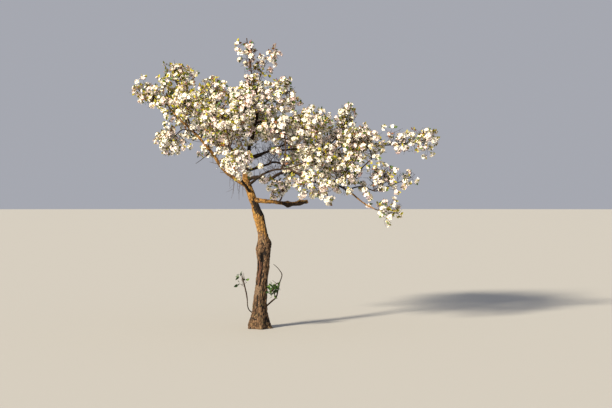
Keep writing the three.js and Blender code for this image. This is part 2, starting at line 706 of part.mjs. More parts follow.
function buildTree() {
  const shaped = shapeLimbs();
  addPiece('trunk', trunkSolid(0), BARK, BARK_ROUGHNESS);
  const cutters = { trunk: trunkSolid(GAP) };
  for (const limb of LIMBS) {
    let solid = limbSolid(shaped[limb.name], 0);
    for (const cutter of Object.values(cutters)) solid = solid.subtract(cutter);
    const colour = GOLDEN_LIMBS.includes(limb.name) ? BARK_GOLD : BARK;
    addPiece(limb.name, mainBody(solid), colour, BARK_ROUGHNESS);
    cutters[limb.name] = limbSolid(shaped[limb.name], GAP);
  }

  const limbSamples = Object.values(shaped).map(
    (limb) => samplesOf(limb.curve, limb.radiusAt, LIMB_SAMPLES));
  const stems = {};
  for (const mass of MASSES) {
    const stem = shapeStem(mass, shaped);
    stems[mass.name] = { ...stem, samples: samplesOf(stem.curve, stem.radiusAt, STEM_SAMPLES) };
  }
  MASSES.forEach((mass, number) => {
    const solid = massSolid(mass, number, stems, limbSamples, Object.values(cutters));
    addPiece(`${mass.name}_mass`, solid, massColour(mass), SPRAY_ROUGHNESS);
  });
}

buildTree();

export default root;
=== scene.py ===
# Cherry blossom tree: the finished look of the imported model, in its frame. Growth is worked out in
# millimetres, as in the part's source, and each mesh is written in metres.

import math

import bpy
import numpy as np
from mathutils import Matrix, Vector, noise


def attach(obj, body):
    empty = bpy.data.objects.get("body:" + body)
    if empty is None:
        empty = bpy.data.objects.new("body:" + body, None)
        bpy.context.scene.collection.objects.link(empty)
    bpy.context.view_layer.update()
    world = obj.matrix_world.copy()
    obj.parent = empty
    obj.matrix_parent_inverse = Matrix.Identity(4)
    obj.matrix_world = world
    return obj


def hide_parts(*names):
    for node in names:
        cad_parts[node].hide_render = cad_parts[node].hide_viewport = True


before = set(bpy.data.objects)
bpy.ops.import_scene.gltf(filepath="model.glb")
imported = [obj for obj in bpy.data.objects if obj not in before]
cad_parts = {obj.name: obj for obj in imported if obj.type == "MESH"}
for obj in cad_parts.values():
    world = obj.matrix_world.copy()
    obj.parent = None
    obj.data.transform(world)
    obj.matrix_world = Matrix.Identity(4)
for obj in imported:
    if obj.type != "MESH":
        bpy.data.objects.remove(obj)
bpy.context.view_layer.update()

MM = 0.001

# Limbs and masses, with the source's values

TRUNK_STATIONS = [
    (0, 0, 0, 146), (65, -12, 0, 132), (190, -6, -2, 101), (330, 0, -6, 88), (480, 16, -10, 82),
    (640, 30, -12, 76), (800, 46, -12, 76), (930, 48, -8, 81), (1050, 51, -6, 80), (1180, 34, -2, 62),
    (1320, 2, 0, 65), (1400, -19, 0, 72), (1540, -62, 0, 51), (1710, -124, 2, 51), (1830, -172, 6, 49),
    (1940, -182, 12, 37),
]
# Bare wood of the wound: turns of its left and right borders, at the foot and at the head
WOUND_LEFT = (-44, -26)
WOUND_RIGHT = (17, 30)
# Clefts in it: where each starts and ends, its turn at both, half width and depth
CLEFTS = [(-0.05, 1, 6, 16, 12, 24), (0, 0.8, -42, -34, 12, 20), (0.3, 0.95, -16, -8, 5, 8),
          (0.7, 1.02, 1, 6, 16, 30)]
# Patches: turn from the wound, half width, height, and reach above and below. One is worn, below the
# wound, and two are painted shade: a painted shadow under the low bough, and the painted shaded side away
# from the light
WORN = (-8, 36, 500, 42, 100)
SHADED = [(66, 72, 1530, 95, 125), (108, 34, 1400, 120, 400)]
# Depth from which a cleft is painted near black inside, as painted shade
CLEFT_DEPTH = 6
# Height round which the raised bark is painted golden, as painted sunlight, and over how much height
SUNLIT_PAINT_HEIGHT = 1110
SUNLIT_PAINT_SPREAD = 260
# Height from which the bark grows more even, and over how much height
EVEN_HEIGHT = 1050
EVEN_SPREAD = 180
# Width of the bark's plates, their stretch and their relief, and the same for the bare wood's grain
PLATE = 27
PLATE_STRETCH = 3.4
BARK_DEPTH = 7
GRAIN = {"width": 8, "depth": 2.4, "flat": 0.12}
# Share of the depth below which the bark is painted near black as shade: in its cracks, and in the first
# patch of painted shadow
CRACK_LEVEL = -0.62
PAINTED_SHADOW_LEVEL = 0.15
FLARE = {"lobes": 5, "depth": 0.13, "height": 170, "turn": 0.5}
WOUND = {"foot": 540, "head": 940, "turn": -116, "width": 24, "depth": 0.26, "roll": 0.1,
         "roll_turn": 38, "blunt": 0.6}
# Height, turn in degrees, extra radius, half height and half width in degrees
BURRS = [(985, 182, 0.3, 75, 34), (1062, 2, 0.2, 60, 32), (1600, 200, 0.16, 70, 50)]

# Parent, place on it (a height on the trunk, else a share), radii at root and tip, and the route
LIMBS = {
    "leader": ("trunk", 1935, (30, 9), [(-140, 40, 2230), (-50, 70, 2580), (-30, 50, 2860), (-80, 30, 3050)]),
    "left_bough": ("trunk", 1765, (28, 9), [
        (-420, -50, 1950), (-600, -70, 2190), (-800, -50, 2430), (-1020, 0, 2620), (-1170, 40, 2800)]),
    "right_bough": ("trunk", 1845, (24, 12), [
        (-40, -40, 1885), (120, -90, 1860), (290, -130, 1940), (540, -160, 1910), (740, -180, 1800),
        (930, -200, 1790), (1130, -210, 1695)]),
    "low_bough": ("trunk", 1600, (30, 20), [(150, -90, 1580), (360, -145, 1552), (590, -190, 1580)]),
    "upper_right_bough": ("leader", 0.02, (18, 9), [
        (70, 110, 2040), (190, 190, 2080), (380, 280, 2020), (690, 360, 2060)]),
    "far_right_bough": ("leader", 0.17, (15, 8), [
        (100, 110, 2210), (370, 160, 2240), (660, 180, 2260), (1070, 150, 2320), (1500, 70, 2285)]),
    "high_right_bough": ("leader", 0.49, (14, 8), [(160, 10, 2620), (440, -60, 2575)]),
    "front_left_bough": ("trunk", 1690, (19, 10), [(-230, -350, 1870), (-260, -610, 1930)]),
    "front_right_bough": ("trunk", 1780, (19, 10), [(110, -350, 1940), (380, -600, 1980)]),
    "back_left_bough": ("leader", 0.06, (18, 10), [(-380, 400, 2250), (-560, 700, 2450)]),
    "back_right_bough": ("leader", 0.13, (18, 10), [(140, 420, 2250), (430, 730, 2400)]),
    "back_bough": ("leader", 0.29, (16, 10), [(-120, 420, 2510), (-90, 720, 2650)]),
    "drooping_branch": ("right_bough", 0.985, (12, 7), [(1270, -240, 1570), (1420, -270, 1485)]),
    "rising_branch": ("right_bough", 0.93, (11, 7), [
        (1180, -190, 1880), (1280, -180, 2010), (1390, -160, 2110)]),
    "outer_right_branch": ("right_bough", 0.96, (10, 6), [
        (1260, -200, 1765), (1430, -190, 1710), (1590, -170, 1765)]),
    "left_top_branch": ("left_bough", 0.7, (10, 7), [(-950, 40, 2700), (-1000, 90, 2830)]),
    "left_shoulder_branch": ("left_bough", 0.54, (10, 7), [(-690, -10, 2490), (-640, 40, 2600)]),
    "left_low_branch": ("left_bough", 0.62, (9, 6), [(-950, -90, 2475), (-1020, -120, 2420)]),
    "left_inner_branch": ("left_bough", 0.38, (10, 6), [(-450, -110, 2190), (-360, -130, 2230)]),
    "left_snag": ("left_bough", 0.41, (7, 3), [(-710, -100, 2110), (-790, -120, 2050)]),
    "spire_shoot": ("leader", 0.86, (7, 4), [(10, 30, 3180), (60, 20, 3300)]),
    "foot_shoot_right": ("trunk", 200, (13, 4), [
        (140, -40, 330), (205, -60, 400), (245, -60, 560), (275, -50, 665), (235, -45, 740),
        (170, -40, 800)]),
    "foot_shoot_left": ("trunk", 140, (9, 3), [
        (-138, -40, 240), (-160, -40, 410), (-195, -50, 570), (-230, -55, 690)]),
}
# Swellings: share of the limb's length, and extra radius
KNOTS = {"low_bough": [(0.65, 0.85), (0.86, 0.5)]}
COLLAR_SWELL = 0.35
COLLAR_LENGTH = 2.2
KNOT_LENGTH = 36
LIMB_TAPER = 0.85

# Limb and place on it, centre, half sizes, lean, and the part of leaves
MASSES = {
    "left_tip": ("left_bough", 1, (-1410, 50, 2920), (235, 190, 160), 0, 0.3),
    "left_top": ("left_top_branch", 1, (-1050, 130, 3070), (280, 250, 285), 0, 0.55),
    "left_shoulder": ("left_shoulder_branch", 1, (-600, 90, 2850), (285, 260, 285), 0, 0.5),
    "left_low": ("left_low_branch", 1, (-1080, -140, 2330), (225, 210, 200), 0, 0.3),
    "left_inner": ("left_inner_branch", 1, (-480, -140, 2390), (310, 200, 165), 0, 0.35),
    "left_front": ("left_bough", 0.6, (-860, -440, 2730), (240, 220, 195), 0, 0.5),
    "left_back": ("left_bough", 0.8, (-990, 570, 2850), (275, 240, 235), 0, 0.5),
    "front_left": ("front_left_bough", 1, (-220, -900, 2010), (230, 280, 150), 0, 0.25),
    "front_left_upper": ("front_left_bough", 0.9, (-380, -620, 2480), (295, 280, 205), 0, 0.35),
    "spire": ("leader", 1, (-125, 20, 3350), (150, 150, 375), -0.28, 0.55),
    "spire_side": ("spire_shoot", 1, (165, 20, 3410), (130, 90, 120), 0, 0.4),
    "top_front": ("leader", 0.45, (-170, -220, 2700), (295, 230, 245), 0, 0.35),
    "top_right": ("leader", 0.62, (260, 0, 2890), (225, 230, 240), 0, 0.4),
    "top_back": ("leader", 0.55, (-150, 430, 2880), (310, 270, 270), 0, 0.4),
    "high_right": ("high_right_bough", 1, (650, -90, 2560), (235, 230, 210), 0, 0.3),
    "high_far_right": ("far_right_bough", 0.7, (1040, 170, 2600), (150, 200, 230), 0.35, 0.3),
    "right_mid": ("rising_branch", 1, (1260, -120, 2290), (330, 200, 195), 0, 0.4),
    "right_tip": ("far_right_bough", 1, (1930, 40, 2340), (360, 180, 180), 0, 0.3),
    "front_centre": ("front_right_bough", 0.8, (290, -480, 2440), (265, 230, 155), 0, 0.3),
    "centre_right": ("front_right_bough", 1, (720, -430, 2130), (265, 220, 170), 0, 0.25),
    "front_right": ("front_right_bough", 0.93, (630, -860, 1770), (200, 240, 165), 0, 0.2),
    "right_under": ("right_bough", 0.8, (1040, -340, 1950), (255, 200, 170), 0, 0.3),
    "low_middle": ("low_bough", 0.45, (270, -200, 1725), (220, 140, 110), 0, 0.5),
    "hanging": ("right_bough", 0.72, (830, -300, 1620), (105, 90, 120), 0, 0.25),
    "outer_low": ("outer_right_branch", 0.6, (1500, -180, 1850), (235, 190, 170), 0, 0.25),
    "outer_thin": ("outer_right_branch", 1, (1800, -150, 1850), (160, 120, 130), 0, 0.6),
    "droop": ("drooping_branch", 1, (1600, -290, 1455), (170, 140, 175), 0, 0.25),
    "back_right_low": ("upper_right_bough", 1, (920, 480, 2060), (360, 260, 210), 0, 0.4),
    "back_right_high": ("back_right_bough", 1, (600, 810, 2560), (320, 280, 240), 0, 0.4),
    "back_left": ("back_left_bough", 1, (-690, 860, 2670), (335, 280, 240), 0, 0.4),
    "back_centre": ("back_bough", 1, (-20, 1010, 2670), (360, 280, 255), 0, 0.4),
    "back_far_right": ("upper_right_bough", 0.88, (1180, 620, 2400), (290, 230, 195), 0, 0.35),
    "foot_right": ("foot_shoot_right", 0.5, (170, -110, 480), (80, 80, 125), 0, 1),
    "foot_left": ("foot_shoot_left", 0.4, (-205, -90, 570), (75, 65, 145), 0, 1),
}

# The source's branching rule
GOLDEN_TURN = math.pi * (3 - math.sqrt(5))
FIRST_SEED = 4100
SEED_STEP = 37
ROOT_DEPTH = 6
STEM_RADIUS = 11
STEM_TAPER = 0.72
STEM_BOW = 0.4
CHILD_SHARE = 0.44
TWIG_TAPER = 0.85
THINNEST_TWIG = 1.3
SHOOT_SPACING = 52
FEWEST_SHOOTS = 3
SHOOT_PLACE = (0.35, 0.3)
SHOOT_SHARE = (0.8, 0.2)
SHOOT_LEAN = (78, 42)
LEAN_SPREAD = 12
TURN_SPREAD = 0.6
LONGEST_TWIG = 3
SHORTEST_TWIG = 25
SIDE_SHARE = 0.5
SIDE_LEAN = 58
SIDE_PLACE = 0.5
SPACE_MARGIN = 0.05
LIMB_CLEARANCE = 8
MARCH = 12
ENTRY_STEP = 0.02
LAST_ENTRY = 0.9
PLAIN_SIZE = 200
SPRAY_SCALES = (0.45, 1.3)
SPRAY_ROOM = 80

# The rule carried on to finer twigs
FINE_SEED = 9300
FINE_SPACING = 34
# Place, spread of turns, lean and length of such offshoots: the least, and how far it goes on from there
FINE_HABIT = ((0.3, 0.4), TURN_SPREAD, (48, 26), (60, 120))
FINE_SHARE = 0.6
FINE_LIFT = 0.22
THINNEST_FINE = 2.4
THICKEST_FINE = 4.2
SPUR_SPACING = 36
SPUR_HABIT = ((0.2, 0.5), 2 * TURN_SPREAD, (45, 30), (8, 14))
SPUR_RADIUS = 1.6
TIP_SPUR = 6
TWIG_BOW = 0.07
# No fine twig ends higher than this
CROWN_TOP = 3610

# How far a space's border wavers, as a level, and over what length
RAGGED = 0.9
RAGGED_LENGTH = 110

# Shoots that the limbs carry between the masses
LIMB_SEED = 15200
LIMB_SHOOT_SPACING = 42
DENSE_LIMBS = {"leader": 0.45, "left_bough": 0.7, "back_left_bough": 0.7, "far_right_bough": 0.6}
LIMB_SHOOT_LENGTH = (70, 150)
LIMB_SHOOT_LEAN = (52, 30)
LIMB_SHOOT_LIFT = 0.35
LIMB_SHOOT_RADIUS = (2.2, 0.07)
FORKED_LENGTH = 100
FIRST_LIMB_SHOOT = 0.16
FLOWER_BORDER = 3.6
# The see-through space right of the leader, where twigs stay bare
BARE_SPACE = ((-20, 380), (-400, 900), (1940, 2390))
BARE_LENGTH = 1.7
BARE_TWIGS = 3
# Masses whose stems carry such shoots too, on the way from the limb
LINKING_STEMS = ["right_tip", "outer_low", "left_tip"]
# Dead twigs that hang below the left bough: place, length
DEAD_TWIGS = [(0.05, 190), (0.07, 250), (0.09, 170), (0.11, 270), (0.13, 210), (0.16, 150)]
# The bough that shows through the crown from the front, its stretch, and the room kept before it
SHOWN_BOUGH = ("left_bough", 0.1, 0.97, 40)
NO_SHOOTS = ["low_bough", "drooping_branch", "left_snag", "foot_shoot_right", "foot_shoot_left"]

# Flowers and leaves, with more leaves in the crown's upper left, on its tips and on its right
LEAFY_CORNER = (-450, 2750)
LEAFY_HEIGHT = 3280
LEAFY_RIGHT = 450
LEAFY_MORE = (0.3, 0.12)
# Way between clusters, in nearly bare stretches and in full ones
CLUSTER_GAPS = (92, 50)
THIN_MASSES = {"spire": 1.3, "spire_side": 1.1, "outer_thin": 1.6, "outer_low": 1.2, "right_tip": 1.25,
               "left_tip": 1.1, "droop": 1.1, "low_middle": 0.8, "foot_left": 1.9, "foot_right": 1.15}
CLUSTER_OUT = 30
CLUSTER_CLEARANCE = 20
# Share of leafy clusters for each part of leaves, and what clusters hold: the least, and the spread
LEAFY_SHARE = 0.42
FOOT_LEAVES = (3, 3)
LEAFY_CLUSTER = {"leaves": (4, 3), "blossoms": (0, 2), "buds": (1, 3)}
FLOWER_CLUSTER = {"leaves": (2, 3.4, 3.6), "blossoms": (5, 3.6), "buds": (0, 2.2)}
BLOSSOM_RADIUS = (22, 5.5)
STALK_LENGTH = (20, 16)
BUD_STALK = 0.75
STALK_WIDTH = 0.03
BUD_LENGTH = (9, 5)
LEAF_LENGTH = (44, 30)
LEAF_LEAN = (30, 55)
FOOT_LEAF_SIZE = 1.25


def seeded(seed):
    state = seed & 0xFFFFFFFF

    def draw():
        nonlocal state
        state = (state * 1664525 + 1013904223) & 0xFFFFFFFF
        return state / 4294967296

    return draw


def drawn(span, draw):
    """A number from a span: its least value, and how far it goes on from there."""
    return span[0] + span[1] * draw()


def mix(a, b, share):
    return a + (b - a) * share


def unit(vectors):
    vectors = np.asarray(vectors, float)
    return vectors / np.maximum(np.linalg.norm(vectors, axis=-1, keepdims=True), 1e-9)


def bump(distance, width):
    return np.exp(-((distance / width) ** 2))


def spline(points, shares):
    """Places on a uniform Catmull-Rom curve through the points."""
    points = np.asarray(points, float)
    knots = np.vstack([2 * points[0] - points[1], points, 2 * points[-1] - points[-2]])
    place = np.asarray(shares, float) * (len(points) - 1)
    index = np.minimum(place.astype(int), len(points) - 2)
    t = (place - index)[:, None]
    a, b, c, d = (knots[index + step] for step in range(4))
    square = 2 * a - 5 * b + 4 * c - d
    cube = 3 * b - a - 3 * c + d
    return 0.5 * (2 * b + (c - a) * t + square * t * t + cube * t ** 3)


class Line:
    """A tapering line of closely spaced points, from share 0 at its root to 1 at its tip."""

    def __init__(self, points, radii):
        self.points = np.asarray(points, float)
        self.radii = np.asarray(radii, float)
        self.length = float(np.linalg.norm(np.diff(self.points, axis=0), axis=1).sum())

    def _place(self, share):
        place = min(max(share, 0.0), 1.0) * (len(self.points) - 1)
        index = min(int(place), len(self.points) - 2)
        return index, place - index

    def at(self, share):
        index, rest = self._place(share)
        return mix(self.points[index], self.points[index + 1], rest)

    def way(self, share):
        index = self._place(share)[0]
        return unit(self.points[index + 1] - self.points[index])

    def radius(self, share):
        index, rest = self._place(share)
        return float(mix(self.radii[index], self.radii[index + 1], rest))


# Trunk and limbs

TRUNK_RINGS = 250
TRUNK_SIDES = 152
LIMB_STEP = 9
SIDE_WIDTH = 5.5
FEWEST_SIDES = 8
WANDER = 0.28
DRIFT_SHIFTS = [Vector((9.3, 1.5, 7.9)), Vector((2.4, 8.7, 3.1)), Vector((5.6, 4.2, 12.8))]


def trunk_line():
    stations = np.array(TRUNK_STATIONS, float)
    shares = np.linspace(0, 1, TRUNK_RINGS + 1)
    points = spline(stations[:, [1, 2, 0]], shares)
    radii = np.interp(shares * (len(stations) - 1), np.arange(len(stations)), stations[:, 3])
    return Line(points, radii)


def limb_line(name, parent):
    _, place, (thick, thin), route = LIMBS[name]
    if place > 1:
        place = float(np.interp(place, parent.points[:, 2], np.linspace(0, 1, len(parent.points))))
    knots = [parent.at(place), *route]
    length = Line(spline(knots, np.linspace(0, 1, 60)), np.ones(60)).length
    count = max(8, round(length / LIMB_STEP))
    shares = np.linspace(0, 1, count + 1)
    points = spline(knots, shares)
    radii = mix(thick, thin, shares ** LIMB_TAPER)
    radii = radii * (1 + COLLAR_SWELL * np.exp(-shares * length / (COLLAR_LENGTH * thick)))
    for at, rise in KNOTS.get(name, []):
        radii = radii * (1 + rise * bump((shares - at) * length, KNOT_LENGTH))
    # A little wander, as such wood has, that fades out at both ends
    fade = np.minimum(1, np.minimum(shares, 1 - shares) * 5)[:, None]
    drift = [[noise.noise(Vector(p) * 0.011 + shift) for shift in DRIFT_SHIFTS] for p in points.tolist()]
    points = points + np.array(drift) * fade * WANDER * thick
    return Line(points, radii)


def grow_limbs():
    lines = {"trunk": trunk_line()}
    for name, (parent, *_) in LIMBS.items():
        lines[name] = limb_line(name, lines[parent])
    return lines


# Masses, by the source's rule

MASS_NAMES = list(MASSES)
CENTRES = np.array([MASSES[name][2] for name in MASS_NAMES], float)
HALVES = np.array([MASSES[name][3] for name in MASS_NAMES], float)
LEANS = np.array([MASSES[name][4] for name in MASS_NAMES], float)


def levels(point):
    """Square of the distance from each mass's centre, with 1 on the border of its space."""
    off = point - CENTRES
    off[:, 0] -= LEANS * off[:, 2]
    return ((off / HALVES) ** 2).sum(axis=1)


def owns(number, point, border=1.0):
    level = levels(point)
    own = level[number]
    level[number] = own + 1
    return own <= border and bool(np.all(level - own > SPACE_MARGIN))


def ragged(point):
    """Border level of a space at a point, in and out by a smooth noise."""
    return 1 + RAGGED * noise.noise(Vector(point) / RAGGED_LENGTH)


class Obstacles:
    """Points of limbs and stems that twigs and sprays keep clear of."""

    def __init__(self, lines):
        self.points = np.vstack([line.points for line in lines])
        self.radii = np.concatenate([line.radii for line in lines])

    def clear(self, point, room):
        off = self.points - point
        return bool(np.all((off * off).sum(axis=1) > (self.radii + room) ** 2))


def mean_size(number):
    return float(np.cbrt(HALVES[number].prod()))


def spray_room(number):
    return SPRAY_ROOM * min(max(mean_size(number) / PLAIN_SIZE, SPRAY_SCALES[0]), SPRAY_SCALES[1])


def stem_line(number, lines):
    limb, place, *_ = MASSES[MASS_NAMES[number]]
    line = lines[limb]
    heading = line.way(place)
    start = line.at(place)
    if place == 1:
        start = start - heading * ROOT_DEPTH
    centre = CENTRES[number]
    way = unit(centre - start)
    end = centre.copy()
    while levels(end)[number] < 1:
        end = end + way * MARCH
    end = end - way * (MARCH + spray_room(number))
    length = np.linalg.norm(end - start)
    middle = start + unit(heading + way) * STEM_BOW * length
    t = np.linspace(0, 1, 15)[:, None]
    points = start * (1 - t) ** 2 + middle * 2 * t * (1 - t) + end * t * t
    thick = min(STEM_RADIUS, line.radius(place))
    return Line(points, thick * mix(1, STEM_TAPER, t[:, 0]))


def free_reach(number, obstacles, start, way, limit, border=1.0):
    reach = 0
    while reach < limit:
        point = start + way * (reach + MARCH)
        if not owns(number, point, border) or not obstacles.clear(point, LIMB_CLEARANCE):
            break
        reach += MARCH
    return reach


# Direction from which turns about a twig are counted
REFERENCE = np.array([0.31, 0.22, 0.93])


def sideways(heading, turn):
    across = unit(REFERENCE - heading * REFERENCE.dot(heading))
    return across * math.cos(turn) + np.cross(heading, across) * math.sin(turn)


def branch_way(heading, turn, lean):
    return heading * math.cos(lean) + sideways(heading, turn) * math.sin(lean)


def bowed_twig(start, way, length, thick, draw, taper=TWIG_TAPER, knots=7):
    """A twig with a slight bow and a kink, as drawn."""
    t = np.linspace(0, 1, knots)
    bow = TWIG_BOW * length * (draw() - 0.25)
    kink = TWIG_BOW * length * (draw() - 0.5)
    side = sideways(way, 2 * math.pi * draw())
    points = start + np.outer(t * length, way)
    points = points + np.outer(bow * np.sin(math.pi * t) + 0.5 * kink * np.sin(3 * math.pi * t), side)
    return Line(points, thick * mix(1, taper, t))


def grow_branches(number, stem, obstacles, draw, shape):
    shoots, sides = [], []
    size = mean_size(number)
    room = spray_room(number)
    limit = LONGEST_TWIG * size
    count = max(FEWEST_SHOOTS, int(size / SHOOT_SPACING + 0.5))
    entry = 0.0
    while entry < LAST_ENTRY and not owns(number, stem.at(entry)):
        entry += ENTRY_STEP
    for index in range(count):
        along = (index + SHOOT_PLACE[0] + SHOOT_PLACE[1] * draw()) / count
        place = mix(entry, 1, along)
        turn = index * GOLDEN_TURN + TURN_SPREAD * draw()
        lean = math.radians(mix(*SHOOT_LEAN, along) + LEAN_SPREAD * (draw() - 0.5))
        share = drawn(SHOOT_SHARE, draw)
        side_turn = 2 * math.pi * draw()
        start = stem.at(place)
        way = branch_way(stem.way(place), turn, lean)
        length = share * (free_reach(number, obstacles, start, way, limit) - room)
        if length < SHORTEST_TWIG:
            continue
        thick = max(THINNEST_TWIG, CHILD_SHARE * stem.radius(place))
        shoot = bowed_twig(start, way, length, thick, shape, knots=10)
        shoots.append(shoot)
        root = shoot.at(SIDE_PLACE)
        side_way = branch_way(way, side_turn, math.radians(SIDE_LEAN))
        free = free_reach(number, obstacles, root, side_way, limit) - room
        side_length = min(SIDE_SHARE * length + SHORTEST_TWIG, free)
        if side_length >= SHORTEST_TWIG:
            thick = max(THINNEST_TWIG, CHILD_SHARE * shoot.radius(SIDE_PLACE))
            sides.append(bowed_twig(root, side_way, side_length, thick, shape, knots=8))
    return entry, shoots, sides


def lifted(way, lift):
    return unit(way + np.array([0, 0, lift]))


def offshoots(parent, first, count, habit, draw):
    """Place, way and length of the offshoots along a parent, by turns of the golden angle."""
    (least, spread), turn_spread, lean, length = habit
    for index in range(count):
        place = mix(first, 1, (index + least + spread * draw()) / count)
        turn = index * GOLDEN_TURN + turn_spread * draw()
        way = branch_way(parent.way(place), turn, math.radians(drawn(lean, draw)))
        yield place, lifted(way, FINE_LIFT), drawn(length, draw)


def grow_fine(number, parents, obstacles, draw):
    """Finer twigs along the parents."""
    fine = []
    for parent, first in parents:
        count = max(1, round(parent.length * (1 - first) / FINE_SPACING))
        for place, way, wish in offshoots(parent, first, count, FINE_HABIT, draw):
            start = parent.at(place)
            free = free_reach(number, obstacles, start, way, wish + CLUSTER_OUT, 1 + RAGGED / 2)
            length = min(wish, free - CLUSTER_OUT)
            if length < SHORTEST_TWIG or start[2] + way[2] * length > CROWN_TOP:
                continue
            thick = min(max(THINNEST_FINE, FINE_SHARE * parent.radius(place)), THICKEST_FINE)
            fine.append(bowed_twig(start, way, length, thick, draw, taper=0.6, knots=4))
    return fine


def grow_spurs(parents, draw):
    """Short spurs along the twigs and one on each tip: start, way, length and radius."""
    spurs = []
    for parent, first in parents:
        spurs.append((parent.at(1), parent.way(1), TIP_SPUR, parent.radius(1)))
        count = round(parent.length * (1 - first) / SPUR_SPACING)
        for place, way, length in offshoots(parent, first, count, SPUR_HABIT, draw):
            spurs.append((parent.at(place), way, length, SPUR_RADIUS))
    return spurs


# Clusters of blossoms, buds and leaves

# Tones of petals and leaves, with the draw below which each is picked
PETALS = {"petals_white": 0.42, "petals_cream": 0.68, "petals_blush": 0.96, "petals_pink": 1}
LEAVES = {"leaves_olive": 0.35, "leaves_yellow_green": 0.65, "leaves_mid_green": 0.92, "leaves_bronze": 1}
FOOT_TONES = {"leaves_dark": 0.75, "leaves_mid_green": 1}
# Where one tone is more frequent: left of, above, its name and share
LEAF_PLACES = [(-200, 2500, "leaves_yellow_green", 0.45), (math.inf, LEAFY_HEIGHT, "leaves_bronze", 0.6)]
LEAF_TONES = ["leaves_yellow_green", "leaves_olive", "leaves_mid_green", "leaves_bronze", "leaves_dark"]
# Rise and curl of the petals, and bend and fold of the leaves
BLOSSOM_SHAPES = [(0.35, 0.3), (0.5, 0.4), (0.65, 0.45), (0.25, 0.1), (0.85, 0.3), (0.45, 0.6)]
LEAF_SHAPES = [(0.5, 0.5), (0.9, 0.35), (0.2, 0.6)]


class Sprays:
    """All that the spurs carry, as places for the templates: foot, way, spin and size of each."""

    def __init__(self, bough):
        first, last = (round(share * (len(bough.points) - 1)) for share in SHOWN_BOUGH[1:3])
        self.shown = bough.points[first:last]
        self.centres = []
        self.stalks = []
        self.blossoms = {(tone, shape): [] for tone in PETALS for shape in range(len(BLOSSOM_SHAPES))}
        self.buds = []
        self.leaves = {tone: [] for tone in LEAF_TONES}

    def veils(self, centre):
        """Whether a cluster would stand before the bough that shows."""
        off = self.shown - centre
        return bool(np.any((off[:, 1] > 0) & (np.hypot(off[:, 0], off[:, 2]) < SHOWN_BOUGH[3])))

    def crowded(self, centre, gap):
        if not self.centres:
            return False
        off = np.array(self.centres) - centre
        return bool(np.any((off * off).sum(axis=1) < gap * gap))


def picked(tones, pick):
    return next(tone for tone, share in tones.items() if pick < share)


def leaf_tone(foot, part, draw):
    pick = draw()
    if part == 1:
        return picked(FOOT_TONES, pick)
    for left, above, tone, share in LEAF_PLACES:
        if foot[0] < left and foot[2] > above and pick < share:
            return tone
    return picked(LEAVES, pick)


def add_leaves(sprays, foot, way, count, part, draw, size=1.0):
    first = 2 * math.pi * draw()
    for index in range(count):
        tone = leaf_tone(foot, part, draw)
        lean = math.radians(drawn(LEAF_LEAN, draw))
        out = lifted(branch_way(way, first + index * GOLDEN_TURN, lean), 0.25)
        length = drawn(LEAF_LENGTH, draw) * size
        sprays.leaves[tone].append((foot, out, 2 * math.pi * draw(), length))


def add_blossoms(sprays, foot, way, count, buds, draw):
    tone = picked(PETALS, draw())
    first = 2 * math.pi * draw()
    for index in range(count + buds):
        crowd = index / max(1, count + buds - 1)
        lean = math.radians(12 + 66 * math.sqrt(crowd) + 12 * (draw() - 0.5))
        out = lifted(branch_way(way, first + index * GOLDEN_TURN, lean), 0.1)
        is_bud = index >= count
        length = drawn(STALK_LENGTH, draw) * (BUD_STALK if is_bud else 1)
        seat = foot + out * length
        spin = 2 * math.pi * draw()
        sprays.stalks.append((foot, out, spin, length))
        if is_bud:
            sprays.buds.append((seat, out, spin, drawn(BUD_LENGTH, draw)))
            continue
        face = unit(out + 0.35 * (np.array([draw(), draw(), draw()]) - 0.5))
        size = drawn(BLOSSOM_RADIUS, draw)
        shape = int(draw() * len(BLOSSOM_SHAPES))
        sprays.blossoms[tone, shape].append((seat, face, spin, size))


def more_leaves(foot):
    """How much the part of leaves rises there."""
    if foot[2] > LEAFY_HEIGHT or (foot[0] < LEAFY_CORNER[0] and foot[2] > LEAFY_CORNER[1]):
        return LEAFY_MORE[0]
    return LEAFY_MORE[1] if foot[0] > LEAFY_RIGHT else 0


def add_cluster(sprays, foot, way, part, draw):
    """One spur's flowers, or leaves alone where the mass is leafy."""
    if part < 1:
        part += more_leaves(foot)
    if part == 1:
        add_leaves(sprays, foot, way, int(drawn(FOOT_LEAVES, draw)), part, draw, FOOT_LEAF_SIZE)
        return
    if draw() < LEAFY_SHARE * part:
        holds = LEAFY_CLUSTER
        leaves = int(drawn(holds["leaves"], draw))
    else:
        holds = FLOWER_CLUSTER
        least, spread, more = holds["leaves"]
        leaves = least + int(spread * draw() + more * part)
    add_leaves(sprays, foot, way, leaves, part, draw)
    blossoms, buds = (int(drawn(holds[kind], draw)) for kind in ("blossoms", "buds"))
    add_blossoms(sprays, foot, way, blossoms, buds, draw)


def cluster_gap(number, point):
    """Way from one cluster to the next at a point."""
    name = MASS_NAMES[number]
    fullness = min(max(0.5 + 1.1 * noise.noise(Vector(point) / 170 + Vector((7, 3, 5))), 0), 1)
    gap = mix(*CLUSTER_GAPS, fullness) * THIN_MASSES.get(name, 1)
    return 0.5 * gap if MASSES[name][5] == 1 else gap


def in_bare_space(point):
    return all(low < value < high for value, (low, high) in zip(point, BARE_SPACE))


def seat_spurs(spurs, obstacles, sprays, draw, number=None):
    """Keep and fill the spurs that have room. Without a number, each joins the nearest mass."""
    kept = []
    for start, way, length, thick in spurs:
        foot = start + way * length
        centre = foot + way * CLUSTER_OUT
        if number is None:
            level = levels(centre)
            mass = int(level.argmin())
            if level[mass] > FLOWER_BORDER or in_bare_space(centre):
                continue
        else:
            mass = number
            if not owns(mass, centre, ragged(centre)):
                continue
        if not obstacles.clear(centre, CLUSTER_CLEARANCE) or sprays.veils(centre):
            continue
        if sprays.crowded(centre, cluster_gap(mass, centre)):
            continue
        sprays.centres.append(centre)
        kept.append(Line([start, foot], [thick, 0.8 * thick]))
        add_cluster(sprays, foot, way, MASSES[MASS_NAMES[mass]][5], draw)
    return kept


